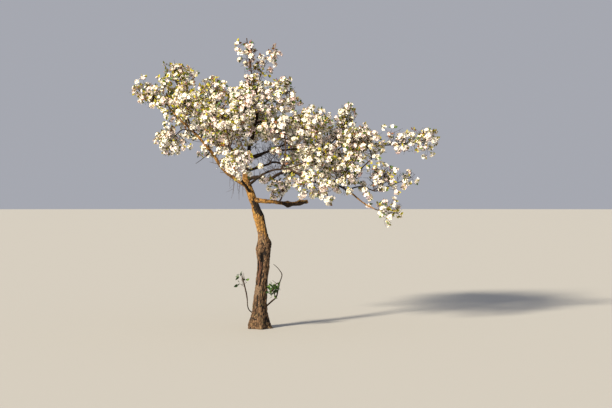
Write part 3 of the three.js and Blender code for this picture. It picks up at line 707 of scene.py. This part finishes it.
def grow_limb_shoots(order, line, dense, obstacles, sprays):
    """Shoots along a limb or stem, in flower near the masses."""
    draw = seeded(LIMB_SEED + SEED_STEP * order)
    shoots = []
    count = round(line.length * (1 - FIRST_LIMB_SHOOT) / (LIMB_SHOOT_SPACING * dense))
    for index in range(count):
        place = mix(FIRST_LIMB_SHOOT, 1, (index + draw()) / count)
        start = line.at(place)
        bare = in_bare_space(start)
        for again in range(BARE_TWIGS if bare else 1):
            lean = math.radians(drawn(LIMB_SHOOT_LEAN, draw))
            turn = (index + again) * GOLDEN_TURN + TURN_SPREAD * draw()
            way = lifted(branch_way(line.way(place), turn, lean), LIMB_SHOOT_LIFT)
            length = LIMB_SHOOT_LENGTH[0] + LIMB_SHOOT_LENGTH[1] * draw() ** 2
            length = line.radius(place) + (BARE_LENGTH * length if bare else length)
            if not obstacles.clear(start + way * length, LIMB_CLEARANCE):
                continue
            thick = LIMB_SHOOT_RADIUS[0] + LIMB_SHOOT_RADIUS[1] * line.radius(place)
            shoots.append(bowed_twig(start, way, length, thick, draw, taper=0.55))
            if length > FORKED_LENGTH:
                side = branch_way(way, 2 * math.pi * draw(), math.radians(SIDE_LEAN))
                root = shoots[-1].at(0.6)
                shoots.append(bowed_twig(root, side, 0.5 * length, 0.6 * thick, draw, taper=0.6))
    spurs = grow_spurs([(shoot, 0.45) for shoot in shoots], draw)
    kept = seat_spurs(spurs, obstacles, sprays, draw)
    return {"fine": shoots, "spurs": kept}


def grow_dead_twigs(line):
    """Bare hanging twigs, each with a shorter one on it."""
    draw = seeded(LIMB_SEED)
    twigs = []
    for place, length in DEAD_TWIGS:
        way = unit(np.array([0.1 - 0.3 * draw(), -0.5 * draw(), -1]))
        twig = bowed_twig(line.at(place), way, length, 3, draw, taper=0.4)
        twigs.append(twig)
        side = branch_way(way, 2 * math.pi * draw(), math.radians(SIDE_LEAN))
        twigs.append(bowed_twig(twig.at(0.35 + 0.3 * draw()), side, 0.4 * length, 1.8, draw, taper=0.5))
    return {"fine": twigs}


def grow_mass(number, stems, limbs, sprays):
    others = [stem for index, stem in enumerate(stems) if index != number]
    obstacles = Obstacles([*limbs.values(), *others])
    shape = seeded(FINE_SEED + SEED_STEP * number)
    stem = stems[number]
    draw = seeded(FIRST_SEED + SEED_STEP * number)
    entry, shoots, sides = grow_branches(number, stem, obstacles, draw, shape)
    main = [(stem, entry), *((twig, 0.12) for twig in shoots + sides)]
    fine = grow_fine(number, main, obstacles, shape)
    if MASSES[MASS_NAMES[number]][5] < 1:
        fine += grow_fine(number, [(twig, 0.3) for twig in fine if twig.length > 60], obstacles, shape)
    spurs = grow_spurs([*((twig, 0.35) for twig in fine), *main], shape)
    kept = seat_spurs(spurs, Obstacles(list(limbs.values())), sprays, shape, number)
    return {"stems": [stem], "shoots": shoots + sides, "fine": fine, "spurs": kept}


# Meshes

def linked(name, data):
    made = bpy.data.objects.new(name, data)
    bpy.context.scene.collection.objects.link(made)
    return made


def add_mesh(name, points, faces, materials, tags=None):
    """A smooth triangle mesh from arrays, in millimetres."""
    mesh = bpy.data.meshes.new(name)
    mesh.vertices.add(len(points))
    mesh.vertices.foreach_set("co", (points * MM).astype(np.float32).ravel())
    mesh.loops.add(3 * len(faces))
    mesh.loops.foreach_set("vertex_index", faces.astype(np.int32).ravel())
    mesh.polygons.add(len(faces))
    mesh.polygons.foreach_set("loop_start", np.arange(0, 3 * len(faces), 3, dtype=np.int32))
    mesh.polygons.foreach_set("loop_total", np.full(len(faces), 3, np.int32))
    if tags is not None:
        mesh.polygons.foreach_set("material_index", tags.astype(np.int32))
    mesh.update(calc_edges=True)
    mesh.polygons.foreach_set("use_smooth", np.full(len(faces), True))
    mesh.validate()
    for material in materials:
        mesh.materials.append(material)
    piece = linked(name, mesh)
    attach(piece, "root")
    return piece


def tube_faces(rings, sides):
    """Triangles of one closed tube whose rings of points follow one another."""
    ring, side = np.meshgrid(np.arange(rings - 1), np.arange(sides), indexing="ij")
    a = (ring * sides + side).ravel()
    b = (ring * sides + (side + 1) % sides).ravel()
    walls = np.concatenate([np.stack([a, b, b + sides], 1), np.stack([a, b + sides, a + sides], 1)])
    fan = np.arange(1, sides - 1)
    zero = np.zeros_like(fan)
    last = (rings - 1) * sides
    foot = np.stack([zero, fan + 1, fan], 1)
    head = np.stack([zero + last, last + fan, last + fan + 1], 1)
    return np.concatenate([walls, foot, head])


def cross_axes(ways):
    """Two directions square to each way and to each other."""
    across = np.broadcast_to(REFERENCE, ways.shape)
    across = unit(across - ways * (across * ways).sum(-1, keepdims=True))
    return across, np.cross(ways, across)


def repeated(faces, count, step):
    """Faces of so many copies of a mesh, each with so many points."""
    return (faces[None] + np.arange(count)[:, None, None] * step).reshape(-1, 3)


def batch_tubes(lines, sides):
    """Points and faces of many tubes that have the same number of rings."""
    paths = np.stack([line.points for line in lines])
    radii = np.stack([line.radii for line in lines])
    across, side = cross_axes(unit(np.gradient(paths, axis=1)))
    turns = 2 * math.pi * np.arange(sides) / sides
    points = (paths[:, :, None] + radii[:, :, None, None] * (
        across[:, :, None] * np.cos(turns)[:, None] + side[:, :, None] * np.sin(turns)[:, None]))
    count, rings = paths.shape[:2]
    return points.reshape(-1, 3), repeated(tube_faces(rings, sides), count, rings * sides)


def joined(parts):
    """Several sets of points and faces as one."""
    points, faces, start = [], [], 0
    for some_points, some_faces in parts:
        points.append(some_points)
        faces.append(some_faces + start)
        start += len(some_points)
    return np.concatenate(points), np.concatenate(faces)


def placed(template, places):
    """A template set down at every place: foot, way of its Z axis, spin about it and size."""
    points, faces = template
    feet, ways, spins, sizes = (np.array(values) for values in zip(*places))
    ways = unit(ways)
    across, side = cross_axes(ways)
    x_axis = across * np.cos(spins)[:, None] + side * np.sin(spins)[:, None]
    axes = np.stack([x_axis, np.cross(ways, x_axis), ways], axis=1)
    moved = feet[:, None] + sizes[:, None, None] * np.einsum("pk,nkj->npj", points, axes)
    return moved.reshape(-1, 3), repeated(faces, len(places), len(points))


def around(count, start=0.0):
    """Turns of so many places round the Z axis, from a start that counts in steps."""
    return [2 * math.pi * (step + start) / count for step in range(count)]


def polar(radius, turn, height):
    return (radius * math.cos(turn), radius * math.sin(turn), height)


# Outline of a petal from its claw: share of the radius, and share across
PETAL_RING = [(0.1, 0), (0.36, 0.25), (0.76, 0.35), (0.99, 0.17), (0.94, 0), (0.99, -0.17),
              (0.76, -0.35), (0.36, -0.25)]
PETAL_MIDDLE = (0.6, 0)


def fan(middle, first, count):
    """Triangles from a middle point to a closed ring of points."""
    return [(middle, first + k, first + (k + 1) % count) for k in range(count)]


def blossom_template(rise, curl):
    """Five cupped petals round the Z axis, with a radius of 1."""
    points, faces = [], []
    for petal, place in enumerate(around(5)):
        turn = place + 0.09 * math.sin(2.3 * petal)
        tilt = rise + 0.12 * math.sin(5.1 * petal + 10 * curl)
        faces += fan(len(points) + 8, len(points), 8)
        for u, w in [*PETAL_RING, PETAL_MIDDLE]:
            hollow = 0.3 * w * w - (0.05 if (u, w) == PETAL_MIDDLE else 0)
            out = u * math.cos(tilt * (1 - curl * u))
            up = u * math.sin(tilt * (1 - curl * u)) + hollow
            along = math.cos(turn)
            beside = math.sin(turn)
            points.append((out * along - w * beside, out * beside + w * along, up))
    return np.array(points), np.array(faces)


def stamen_template():
    """A low dome with a crown of five stamens, in the middle of a blossom with a radius of 1."""
    points = [(0, 0, 0.16), *(polar(0.15, turn, 0.02) for turn in around(5))]
    faces = fan(0, 1, 5)
    for turn in around(5, 0.5):
        first = len(points)
        points += [polar(0.05, turn - 0.5, 0.04), polar(0.33, turn - 0.14, 0.33),
                   polar(0.33, turn + 0.14, 0.33)]
        faces.append((first, first + 1, first + 2))
    return np.array(points), np.array(faces)


def stalk_template():
    """A stalk along Z with a length of 1, three-sided and widest below the flower."""
    rim = [polar(STALK_WIDTH, turn, 1) for turn in around(3)]
    return np.array([(0, 0, 0), *rim]), np.array([(0, 2, 1), (0, 3, 2), (0, 1, 3)])


def bud_template():
    """A pointed bud with a length of 1."""
    points = [(0, 0, -0.1)]
    for height, wide in [(0.25, 0.36), (0.65, 0.34)]:
        points += [polar(wide, turn + height, height) for turn in around(5)]
    points.append((0, 0, 1))
    faces = []
    for k in range(5):
        n = (k + 1) % 5
        faces += [(0, 1 + n, 1 + k), (1 + k, 1 + n, 6 + n), (1 + k, 6 + n, 6 + k), (6 + k, 6 + n, 11)]
    return np.array(points), np.array(faces)


# Outline of a leaf from its stalk, and its middle: share of the length, and share across
LEAF_RING = [(0, 0.012), (0, -0.012), (0.26, 0), (0.45, 0.19), (0.7, 0.2), (1, 0), (0.7, -0.2),
             (0.45, -0.19), (0.6, 0)]


def leaf_template(bend, fold):
    """A pointed leaf on its stalk along Z with a length of 1, folded along its midrib and bent back."""
    points = []
    for along, across in LEAF_RING:
        angle = bend * along
        out = math.sin(angle) * along
        up = math.cos(angle) * along
        lift = fold * abs(across)
        points.append((out + lift * math.cos(angle), across, up - lift * 0.3))
    return np.array(points), np.array([(0, 1, 2), *fan(8, 2, 6)])


# Bark

def up_the_wound(height):
    """Share of the wound's height, from its foot."""
    return (height - WOUND["foot"]) / (WOUND["head"] - WOUND["foot"])


def trunk_shape(height, degrees):
    """Radius of the trunk for each unit of its mean radius, as in the source."""
    shape = 1 + FLARE["depth"] * np.cos(np.radians(degrees) * FLARE["lobes"] + FLARE["turn"]) * bump(
        height, FLARE["height"])
    for tall, turn, rise, half_height, half_width in BURRS:
        across = bump(turn_from(degrees, turn), half_width)
        shape = shape + rise * bump(height - tall, half_height) * across
    along = np.clip(up_the_wound(height), 0, 1)
    opening = np.sin(math.pi * along) ** WOUND["blunt"]
    off = np.abs(turn_from(degrees, WOUND["turn"]))
    shape = shape - WOUND["depth"] * opening * bump(off, WOUND["width"])
    return shape + WOUND["roll"] * opening * bump(off - WOUND["roll_turn"], WOUND["width"])


def turn_from(a, b):
    """The turn from b to a, from -180 to 180 degrees."""
    return ((a - b) % 360 + 540) % 360 - 180


def relief(points, plate, depth):
    """How far the bark stands out: long plates with cracks between, ridges and grain."""
    out = np.empty(len(points))
    for index, (x, y, z) in enumerate(points.tolist()):
        warp = noise.noise(Vector((x, y, 0.5 * z)) * (0.7 / plate))
        place = Vector((x / plate + warp, y / plate - warp, z / (PLATE_STRETCH * plate) + 0.6 * warp))
        near = noise.voronoi(place)[0]
        crack = min(1.0, (near[1] - near[0]) * 2.6)
        ridge = noise.noise(Vector((x * 1.3 / plate, y * 1.3 / plate, z * 0.16 / plate)))
        grain = noise.noise(Vector((x, y, 0.4 * z)) * (3.1 / plate))
        out[index] = depth * (crack - 1 + 0.9 * ridge + 0.35 * grain)
    return out


def tagged(faces, tags):
    """Tag of each face, from the tags of its corners."""
    return tags.reshape(-1)[faces].min(axis=1)


def wound_reliefs(height, off):
    """Where the wood is bare, and how deep its clefts are, by height and turn from the wound."""
    along = up_the_wound(height)
    inside = (along > 0.01) & (along < 0.98)
    waver = 5 * np.sin(0.045 * height) + 3 * np.sin(0.11 * height + 1)
    swell = np.sin(math.pi * np.clip(along, 0, 1)) ** 0.6
    left = mix(*WOUND_LEFT, along) * swell + waver
    right = mix(*WOUND_RIGHT, along) * swell - 0.7 * waver
    bare = inside & (off > left) & (off < right)
    clefts = np.zeros_like(off * height)
    for foot, head, first, last, width, depth in CLEFTS:
        share = np.clip((along - foot) / (head - foot), 0, 1)
        centre = mix(first, last, share) + 0.5 * waver
        clefts = clefts + depth * np.sin(math.pi * share) ** 0.5 * bump(off - centre, width)
    return bare, clefts


def in_patch(height, off, patch):
    """Places on the trunk inside a patch with a wavy border."""
    turn, width, middle, above, below = patch
    lean = (off - turn) / width
    rise = (height - middle) / np.where(height > middle, above, below)
    ripple = 0.3 * np.sin(0.17 * off + 0.05 * height) + 0.2 * np.sin(0.37 * off - 0.09 * height)
    return lean ** 2 + rise ** 2 + ripple < 1


TRUNK_LOOKS = ["bark", "crack", "wood", "cleft_painted_shade", "worn", "bark_golden", "bark_painted_shade"]
BARK, PAINTED_SHADE_CRACK, WOOD, PAINTED_SHADE_CLEFT, WORN_BARK, PAINTED_SUNLIGHT, PAINTED_SHADE = range(len(TRUNK_LOOKS))
# A limb has bark and cracks too, and then painted shade on its lower side
PAINTED_SHADE_SIDE = 2


def trunk_mesh(line, materials):
    degrees = np.arange(TRUNK_SIDES) * 360 / TRUNK_SIDES
    turns = np.radians(degrees)
    height = line.points[:, 2][:, None]
    reach = line.radii[:, None] * trunk_shape(height, degrees[None])
    ways = np.stack([np.cos(turns), np.sin(turns), np.zeros_like(turns)], 1)
    smooth = (line.points[:, None] + reach[:, :, None] * ways[None]).reshape(-1, 3)
    off = turn_from(degrees[None], WOUND["turn"])
    bare, clefts = wound_reliefs(height, off)
    worn = in_patch(height, off, WORN)
    rough = relief(smooth, PLATE, BARK_DEPTH).reshape(reach.shape)
    upright = smooth * np.array([1, 1, GRAIN["flat"]])
    grain = relief(upright, GRAIN["width"], GRAIN["depth"]).reshape(reach.shape)
    even = np.clip((height - EVEN_HEIGHT) / EVEN_SPREAD, 0, 1)
    rough = rough * (1 - 0.35 * even)
    rough = np.where(bare, grain, np.where(worn, 0.2 * rough + 0.5 * grain, rough))
    foot_fade = np.clip(height / 25, 0, 1)
    reach = reach + (rough - clefts) * foot_fade
    points = (line.points[:, None] + reach[:, :, None] * ways[None]).reshape(-1, 3)
    faces = tube_faces(len(line.points), TRUNK_SIDES)
    # Raised bark on the upper trunk is painted golden, as painted sunlight
    sunlit_paint = 0.6 * rough / BARK_DEPTH + (height - SUNLIT_PAINT_HEIGHT) / SUNLIT_PAINT_SPREAD > 0
    # Painted shade: the first shaded patch is the low bough's painted shadow, the second the trunk's painted
    # shaded side
    painted_shadow = in_patch(height, off, SHADED[0])
    dark = painted_shadow | in_patch(height, off, SHADED[1])
    tags = np.where(dark, PAINTED_SHADE, np.where(sunlit_paint, PAINTED_SUNLIGHT, BARK))
    # In the painted shadow almost all the bark takes the near-black crack look
    crack = np.where(painted_shadow, PAINTED_SHADOW_LEVEL, CRACK_LEVEL - 0.45 * even)
    # Faces deep in the bark's cracks are painted near black, as painted shade
    tags = np.where(rough < crack * BARK_DEPTH, PAINTED_SHADE_CRACK, tags)
    tags = np.where(bare, WOOD, np.where(worn, WORN_BARK, tags))
    # Deep in the clefts the wood is painted near black, as painted shade
    tags = np.where(clefts > CLEFT_DEPTH, PAINTED_SHADE_CLEFT, tags)
    piece = add_mesh("trunk_bark", points, faces, materials, tags=tagged(faces, tags))
    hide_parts("trunk")


# Limbs whose bark carries painted golden sunlight; the other limbs carry painted shade
GOLDEN_LIMBS = ["low_bough", "left_bough"]
SUNLIT_LIMBS = [*GOLDEN_LIMBS, "drooping_branch"]
# Limbs with a broken end, and how far it juts
BROKEN = {"low_bough": 22, "left_snag": 8}
# Share of the low bough's length from which its lower side is painted with shade and its bark is scaly
SCALY_AND_SHADE_END = 0.57
# How far the scaly old bark stands out there
SCALY_END = 5


def limb_mesh(name, line, materials):
    count = len(line.points)
    shares = np.linspace(0, 1, count)[:, None]
    headings = unit(np.gradient(line.points, axis=0))
    sides = max(FEWEST_SIDES, int(2 * math.pi * line.radii[0] / SIDE_WIDTH))
    turns = 2 * math.pi * np.arange(sides) / sides
    across = REFERENCE
    ways = np.empty((count, sides, 3))
    for index, heading in enumerate(headings):
        across = unit(across - heading * across.dot(heading))
        side = np.cross(heading, across)
        ways[index] = np.outer(np.cos(turns), across) + np.outer(np.sin(turns), side)
    smooth = line.points[:, None] + line.radii[:, None, None] * ways
    mean = float(line.radii.mean())
    plate = min(24, 8 + 0.6 * mean)
    depth = min(4.2, 0.19 * mean)
    rough = relief(smooth.reshape(-1, 3), plate, depth).reshape(count, sides)
    if name in KNOTS:
        rough += SCALY_END * np.clip((shares - SCALY_AND_SHADE_END) * 6, 0, 1)
    points = line.points[:, None] + (line.radii[:, None] + rough)[:, :, None] * ways
    if name in BROKEN:
        jag = np.array([noise.noise(Vector(p) * 0.12) for p in points[-1].tolist()])
        points[-1] += np.outer(jag * BROKEN[name], headings[-1])
    faces = tube_faces(count, sides)
    # Faces deep in the cracks are painted near black, as painted shade
    tags = np.where(rough < CRACK_LEVEL * depth, PAINTED_SHADE_CRACK, BARK)
    if name in KNOTS:
        # Painted shade on the lower side of the low bough's end
        shaded_underside = ways[:, :, 2] + 0.2 * rough / depth < 0.6
        tags = np.where((shares > SCALY_AND_SHADE_END) & shaded_underside, PAINTED_SHADE_SIDE, tags)
    piece = add_mesh(f"{name}_bark", points.reshape(-1, 3), faces, materials, tags=tagged(faces, tags))
    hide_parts(name)


# Materials

class Look:
    """A material, with short ways to add nodes and to join them to its shader."""

    def __init__(self, name, roughness, specular=0.5):
        self.material = bpy.data.materials.new(name)
        self.material.use_nodes = True
        self.tree = self.material.node_tree
        self.shader = self.tree.nodes["Principled BSDF"]
        self.fill(self.shader, {"Roughness": roughness, "Specular IOR Level": specular})

    def fill(self, node, inputs):
        """Give a node's inputs their values, or join them to the outputs given."""
        for key, value in inputs.items():
            if isinstance(value, bpy.types.NodeSocket):
                self.tree.links.new(value, node.inputs[key])
            else:
                node.inputs[key].default_value = value

    def add(self, kind, inputs, output=0, **settings):
        """A new node's output."""
        made = self.tree.nodes.new(f"ShaderNode{kind}")
        for key, value in settings.items():
            setattr(made, key, value)
        self.fill(made, inputs)
        return made.outputs[output]

    def place(self, *scale):
        place = self.add("TexCoord", {}, "Object")
        return self.add("Mapping", {"Vector": place, "Scale": scale}) if scale else place

    def noise(self, place, scale, detail, roughness):
        inputs = {"Vector": place, "Scale": scale, "Detail": detail, "Roughness": roughness}
        return self.add("TexNoise", inputs)

    def ramp(self, value, *stops):
        colour = self.add("ValToRGB", {"Fac": value})
        elements = colour.node.color_ramp.elements
        while len(elements) < len(stops):
            elements.new(0.5)
        for element, (place, tone) in zip(elements, stops):
            element.position = place
            element.color = (*tone, 1)
        return colour

    def coloured(self, colour):
        self.fill(self.shader, {"Base Color": colour})
        return self.material

    def bumpy(self, height, strength, distance):
        bumps = self.add("Bump", {"Height": height, "Strength": strength, "Distance": distance})
        self.fill(self.shader, {"Normal": bumps})


def bark_material(name, dark, mid, light, lichen, scale):
    """Scaly bark: dark cracks between plates, pale edges, patches of lichen."""
    look = Look(name, 0.92, 0.25)
    place = look.place(scale, scale, 0.45 * scale)
    plates = look.add("TexVoronoi", {"Vector": place, "Scale": 34}, feature="DISTANCE_TO_EDGE")
    cracks = look.ramp(plates, (0.0, (0, 0, 0)), (0.22, (1, 1, 1)))
    broad = look.add("Math", {0: look.noise(place, 7, 6, 0.62), 1: 0.5}, operation="MULTIPLY")
    fine = look.noise(place, 110, 5, 0.7)
    height = look.add("Math", {0: fine, 1: 0.5, 2: broad}, operation="MULTIPLY_ADD")
    tone = look.ramp(height, (0.32, dark), (0.5, mid), (0.68, light))
    shade = look.add("Mix", {"Factor": 0.75, 6: tone, 7: cracks}, 2, data_type="RGBA", blend_type="MULTIPLY")
    where = look.ramp(look.noise(look.place(), 11, 4, 0.75), (0.58, (0, 0, 0)), (0.68, (0.5, 0.5, 0.5)))
    grown = look.add("Mix", {"Factor": where, 6: shade, 7: (*lichen, 1)}, 2, data_type="RGBA")
    look.bumpy(height, 0.7, 0.004)
    return look.coloured(grown)


def wood_material():
    """Bare reddish wood in the wound, with fine upright grain."""
    look = Look("bare_wood", 0.85)
    grain = look.noise(look.place(1, 1, 0.08), 120, 4, 0.6)
    look.bumpy(grain, 0.5, 0.003)
    tones = [(0.35, (0.016, 0.008, 0.005)), (0.58, (0.13, 0.055, 0.028)), (0.75, (0.26, 0.125, 0.065))]
    return look.coloured(look.ramp(grain, *tones))


def soft_material(name, colour, spread, roughness):
    """A petal, leaf or twig colour with faint mottling."""
    look = Look(name, roughness, 0.3)
    darker = [value * (1 - spread) for value in colour]
    lighter = [min(1.0, value * (1 + spread)) for value in colour]
    return look.coloured(look.ramp(look.noise(look.place(), 60, 2, 0.5), (0.3, darker), (0.7, lighter)))


# Colours of cracks, plates, their edges and lichen, and the scale of the pattern
BARKS = {
    "bark": ((0.035, 0.020, 0.012), (0.155, 0.092, 0.052), (0.34, 0.22, 0.125), (0.26, 0.22, 0.10), 1),
    # A golden, sunlit copy of the bark: painted sunlight
    "bark_golden": ((0.05, 0.024, 0.009), (0.31, 0.16, 0.045), (0.58, 0.34, 0.10), (0.38, 0.29, 0.08), 1.4),
    # A dark, shaded copy of the bark: painted shade, on the limbs away from the light and in the trunk's
    # shaded patches
    "bark_painted_shade": ((0.01, 0.007, 0.005), (0.036, 0.022, 0.014), (0.11, 0.068, 0.038), (0.11, 0.09, 0.04), 1.4),
}
# Colour, how far it is mottled, and roughness
PLAIN_LOOKS = {
    # The crack look is near black: painted shade deep in the cracks, and in the trunk's painted shadow
    "crack": ((0.011, 0.007, 0.005), 0.4, 0.9),
    # The cleft look is painted shade deep in the wound's clefts
    "cleft_painted_shade": ((0.006, 0.0035, 0.0025), 0.4, 0.9),
    "worn": ((0.125, 0.082, 0.052), 0.45, 0.85),
    "twig": ((0.046, 0.025, 0.014), 0.4, 0.8),
    "stalk": ((0.21, 0.19, 0.05), 0.2, 0.7),
    "petals_white": ((0.90, 0.87, 0.85), 0.04, 0.6),
    "petals_cream": ((0.90, 0.84, 0.74), 0.04, 0.6),
    "petals_blush": ((0.89, 0.77, 0.77), 0.05, 0.6),
    "petals_pink": ((0.87, 0.69, 0.72), 0.06, 0.6),
    "stamens": ((0.60, 0.48, 0.11), 0.15, 0.7),
    "buds": ((0.55, 0.17, 0.22), 0.2, 0.55),
    "leaves_yellow_green": ((0.34, 0.31, 0.012), 0.2, 0.55),
    "leaves_olive": ((0.19, 0.17, 0.012), 0.2, 0.55),
    "leaves_mid_green": ((0.065, 0.125, 0.018), 0.2, 0.5),
    "leaves_bronze": ((0.24, 0.10, 0.035), 0.2, 0.5),
    "leaves_dark": ((0.025, 0.06, 0.014), 0.25, 0.5),
}


def make_materials():
    made = {name: bark_material(name, *look) for name, look in BARKS.items()}
    made |= {name: soft_material(name, *look) for name, look in PLAIN_LOOKS.items()}
    return made | {"wood": wood_material()}


# Assembly

TWIG_SIDES = {"stems": 7, "shoots": 5, "fine": 3, "spurs": 3}


def make_twigs(grown, materials):
    parts = []
    for kind, sides in TWIG_SIDES.items():
        by_rings = {}
        for mass in grown:
            for line in mass.get(kind, []):
                by_rings.setdefault(len(line.points), []).append(line)
        parts += [batch_tubes(lines, sides) for lines in by_rings.values()]
    piece = add_mesh("twigs", *joined(parts), [materials["twig"]])
    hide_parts(*(f"{name}_mass" for name in MASS_NAMES))


def make_sprays(sprays, materials):
    blossoms = [blossom_template(*shape) for shape in BLOSSOM_SHAPES]
    for tone in PETALS:
        parts = [placed(blossom, sprays.blossoms[tone, shape])
                 for shape, blossom in enumerate(blossoms) if sprays.blossoms[tone, shape]]
        add_mesh(tone, *joined(parts), [materials[tone]])
    every = [place for places in sprays.blossoms.values() for place in places]
    add_mesh("stamens", *placed(stamen_template(), every), [materials["stamens"]])
    add_mesh("stalks", *placed(stalk_template(), sprays.stalks), [materials["stalk"]])
    add_mesh("buds", *placed(bud_template(), sprays.buds), [materials["buds"]])
    leaves = [leaf_template(*shape) for shape in LEAF_SHAPES]
    for tone in LEAF_TONES:
        places = sprays.leaves[tone]
        parts = [placed(leaf, places[first::len(leaves)])
                 for first, leaf in enumerate(leaves) if places[first:]]
        piece = add_mesh(tone, *joined(parts), [materials[tone]])


def make_tree():
    materials = make_materials()
    limbs = grow_limbs()
    numbers = range(len(MASS_NAMES))
    stems = [stem_line(number, limbs) for number in numbers]
    sprays = Sprays(limbs[SHOWN_BOUGH[0]])
    grown = [grow_mass(number, stems, limbs, sprays) for number in numbers]
    bearing = [(limbs[name], DENSE_LIMBS.get(name, 1)) for name in LIMBS if name not in NO_SHOOTS]
    bearing += [(stems[MASS_NAMES.index(name)], 0.6) for name in LINKING_STEMS]
    obstacles = Obstacles(list(limbs.values()))
    grown += [grow_limb_shoots(order, line, dense, obstacles, sprays)
              for order, (line, dense) in enumerate(bearing)]
    grown.append(grow_dead_twigs(limbs["left_bough"]))
    trunk_mesh(limbs["trunk"], [materials[name] for name in TRUNK_LOOKS])
    for name in LIMBS:
        # Limbs toward the light get the bark with painted sunlight, the others the bark with painted shade
        kind = "bark_golden" if name in SUNLIT_LIMBS else "bark_painted_shade"
        limb_mesh(name, limbs[name], [materials[kind], materials["crack"], materials["bark_painted_shade"]])
    make_twigs(grown, materials)
    make_sprays(sprays, materials)


# Studio

FLOOR_COLOUR = (0.44, 0.44, 0.43, 1)
SKY_COLOUR = (0.68, 0.70, 0.78, 1)
SKY_STRENGTH = 0.56
SUN_COLOUR = (1.0, 0.87, 0.66)
SUN_STRENGTH = 8
SUN_ANGLE = 8
SUN_WAY = (0.84, 0.88, -0.6)
CAMERA_PLACE = (0.575, -12.75, 1.55)
CAMERA_LENS = 60


def make_studio():
    bpy.ops.mesh.primitive_circle_add(vertices=96, radius=300, fill_type="NGON", location=(0, 0, -0.001))
    floor = bpy.context.object
    floor.name = "studio_floor"
    floor.data.materials.append(Look("studio_floor", 0.9).coloured(FLOOR_COLOUR))
    world = bpy.data.worlds.new("studio_world")
    bpy.context.scene.world = world
    world.use_nodes = True
    background = world.node_tree.nodes["Background"]
    background.inputs["Color"].default_value = SKY_COLOUR
    background.inputs["Strength"].default_value = SKY_STRENGTH
    key = bpy.data.lights.new("key", "SUN")
    key.energy = SUN_STRENGTH
    key.angle = math.radians(SUN_ANGLE)
    key.color = SUN_COLOUR
    bpy.context.scene.view_settings.view_transform = "Standard"
    linked("key", key).rotation_euler = Vector(SUN_WAY).to_track_quat("-Z", "Y").to_euler()


def make_camera():
    data = bpy.data.cameras.new("camera")
    data.lens = CAMERA_LENS
    data.sensor_width = 36
    camera = linked("camera", data)
    camera.location = CAMERA_PLACE
    camera.rotation_euler = (math.pi / 2, 0, 0)
    bpy.context.scene.camera = camera


make_tree()
make_studio()
make_camera()
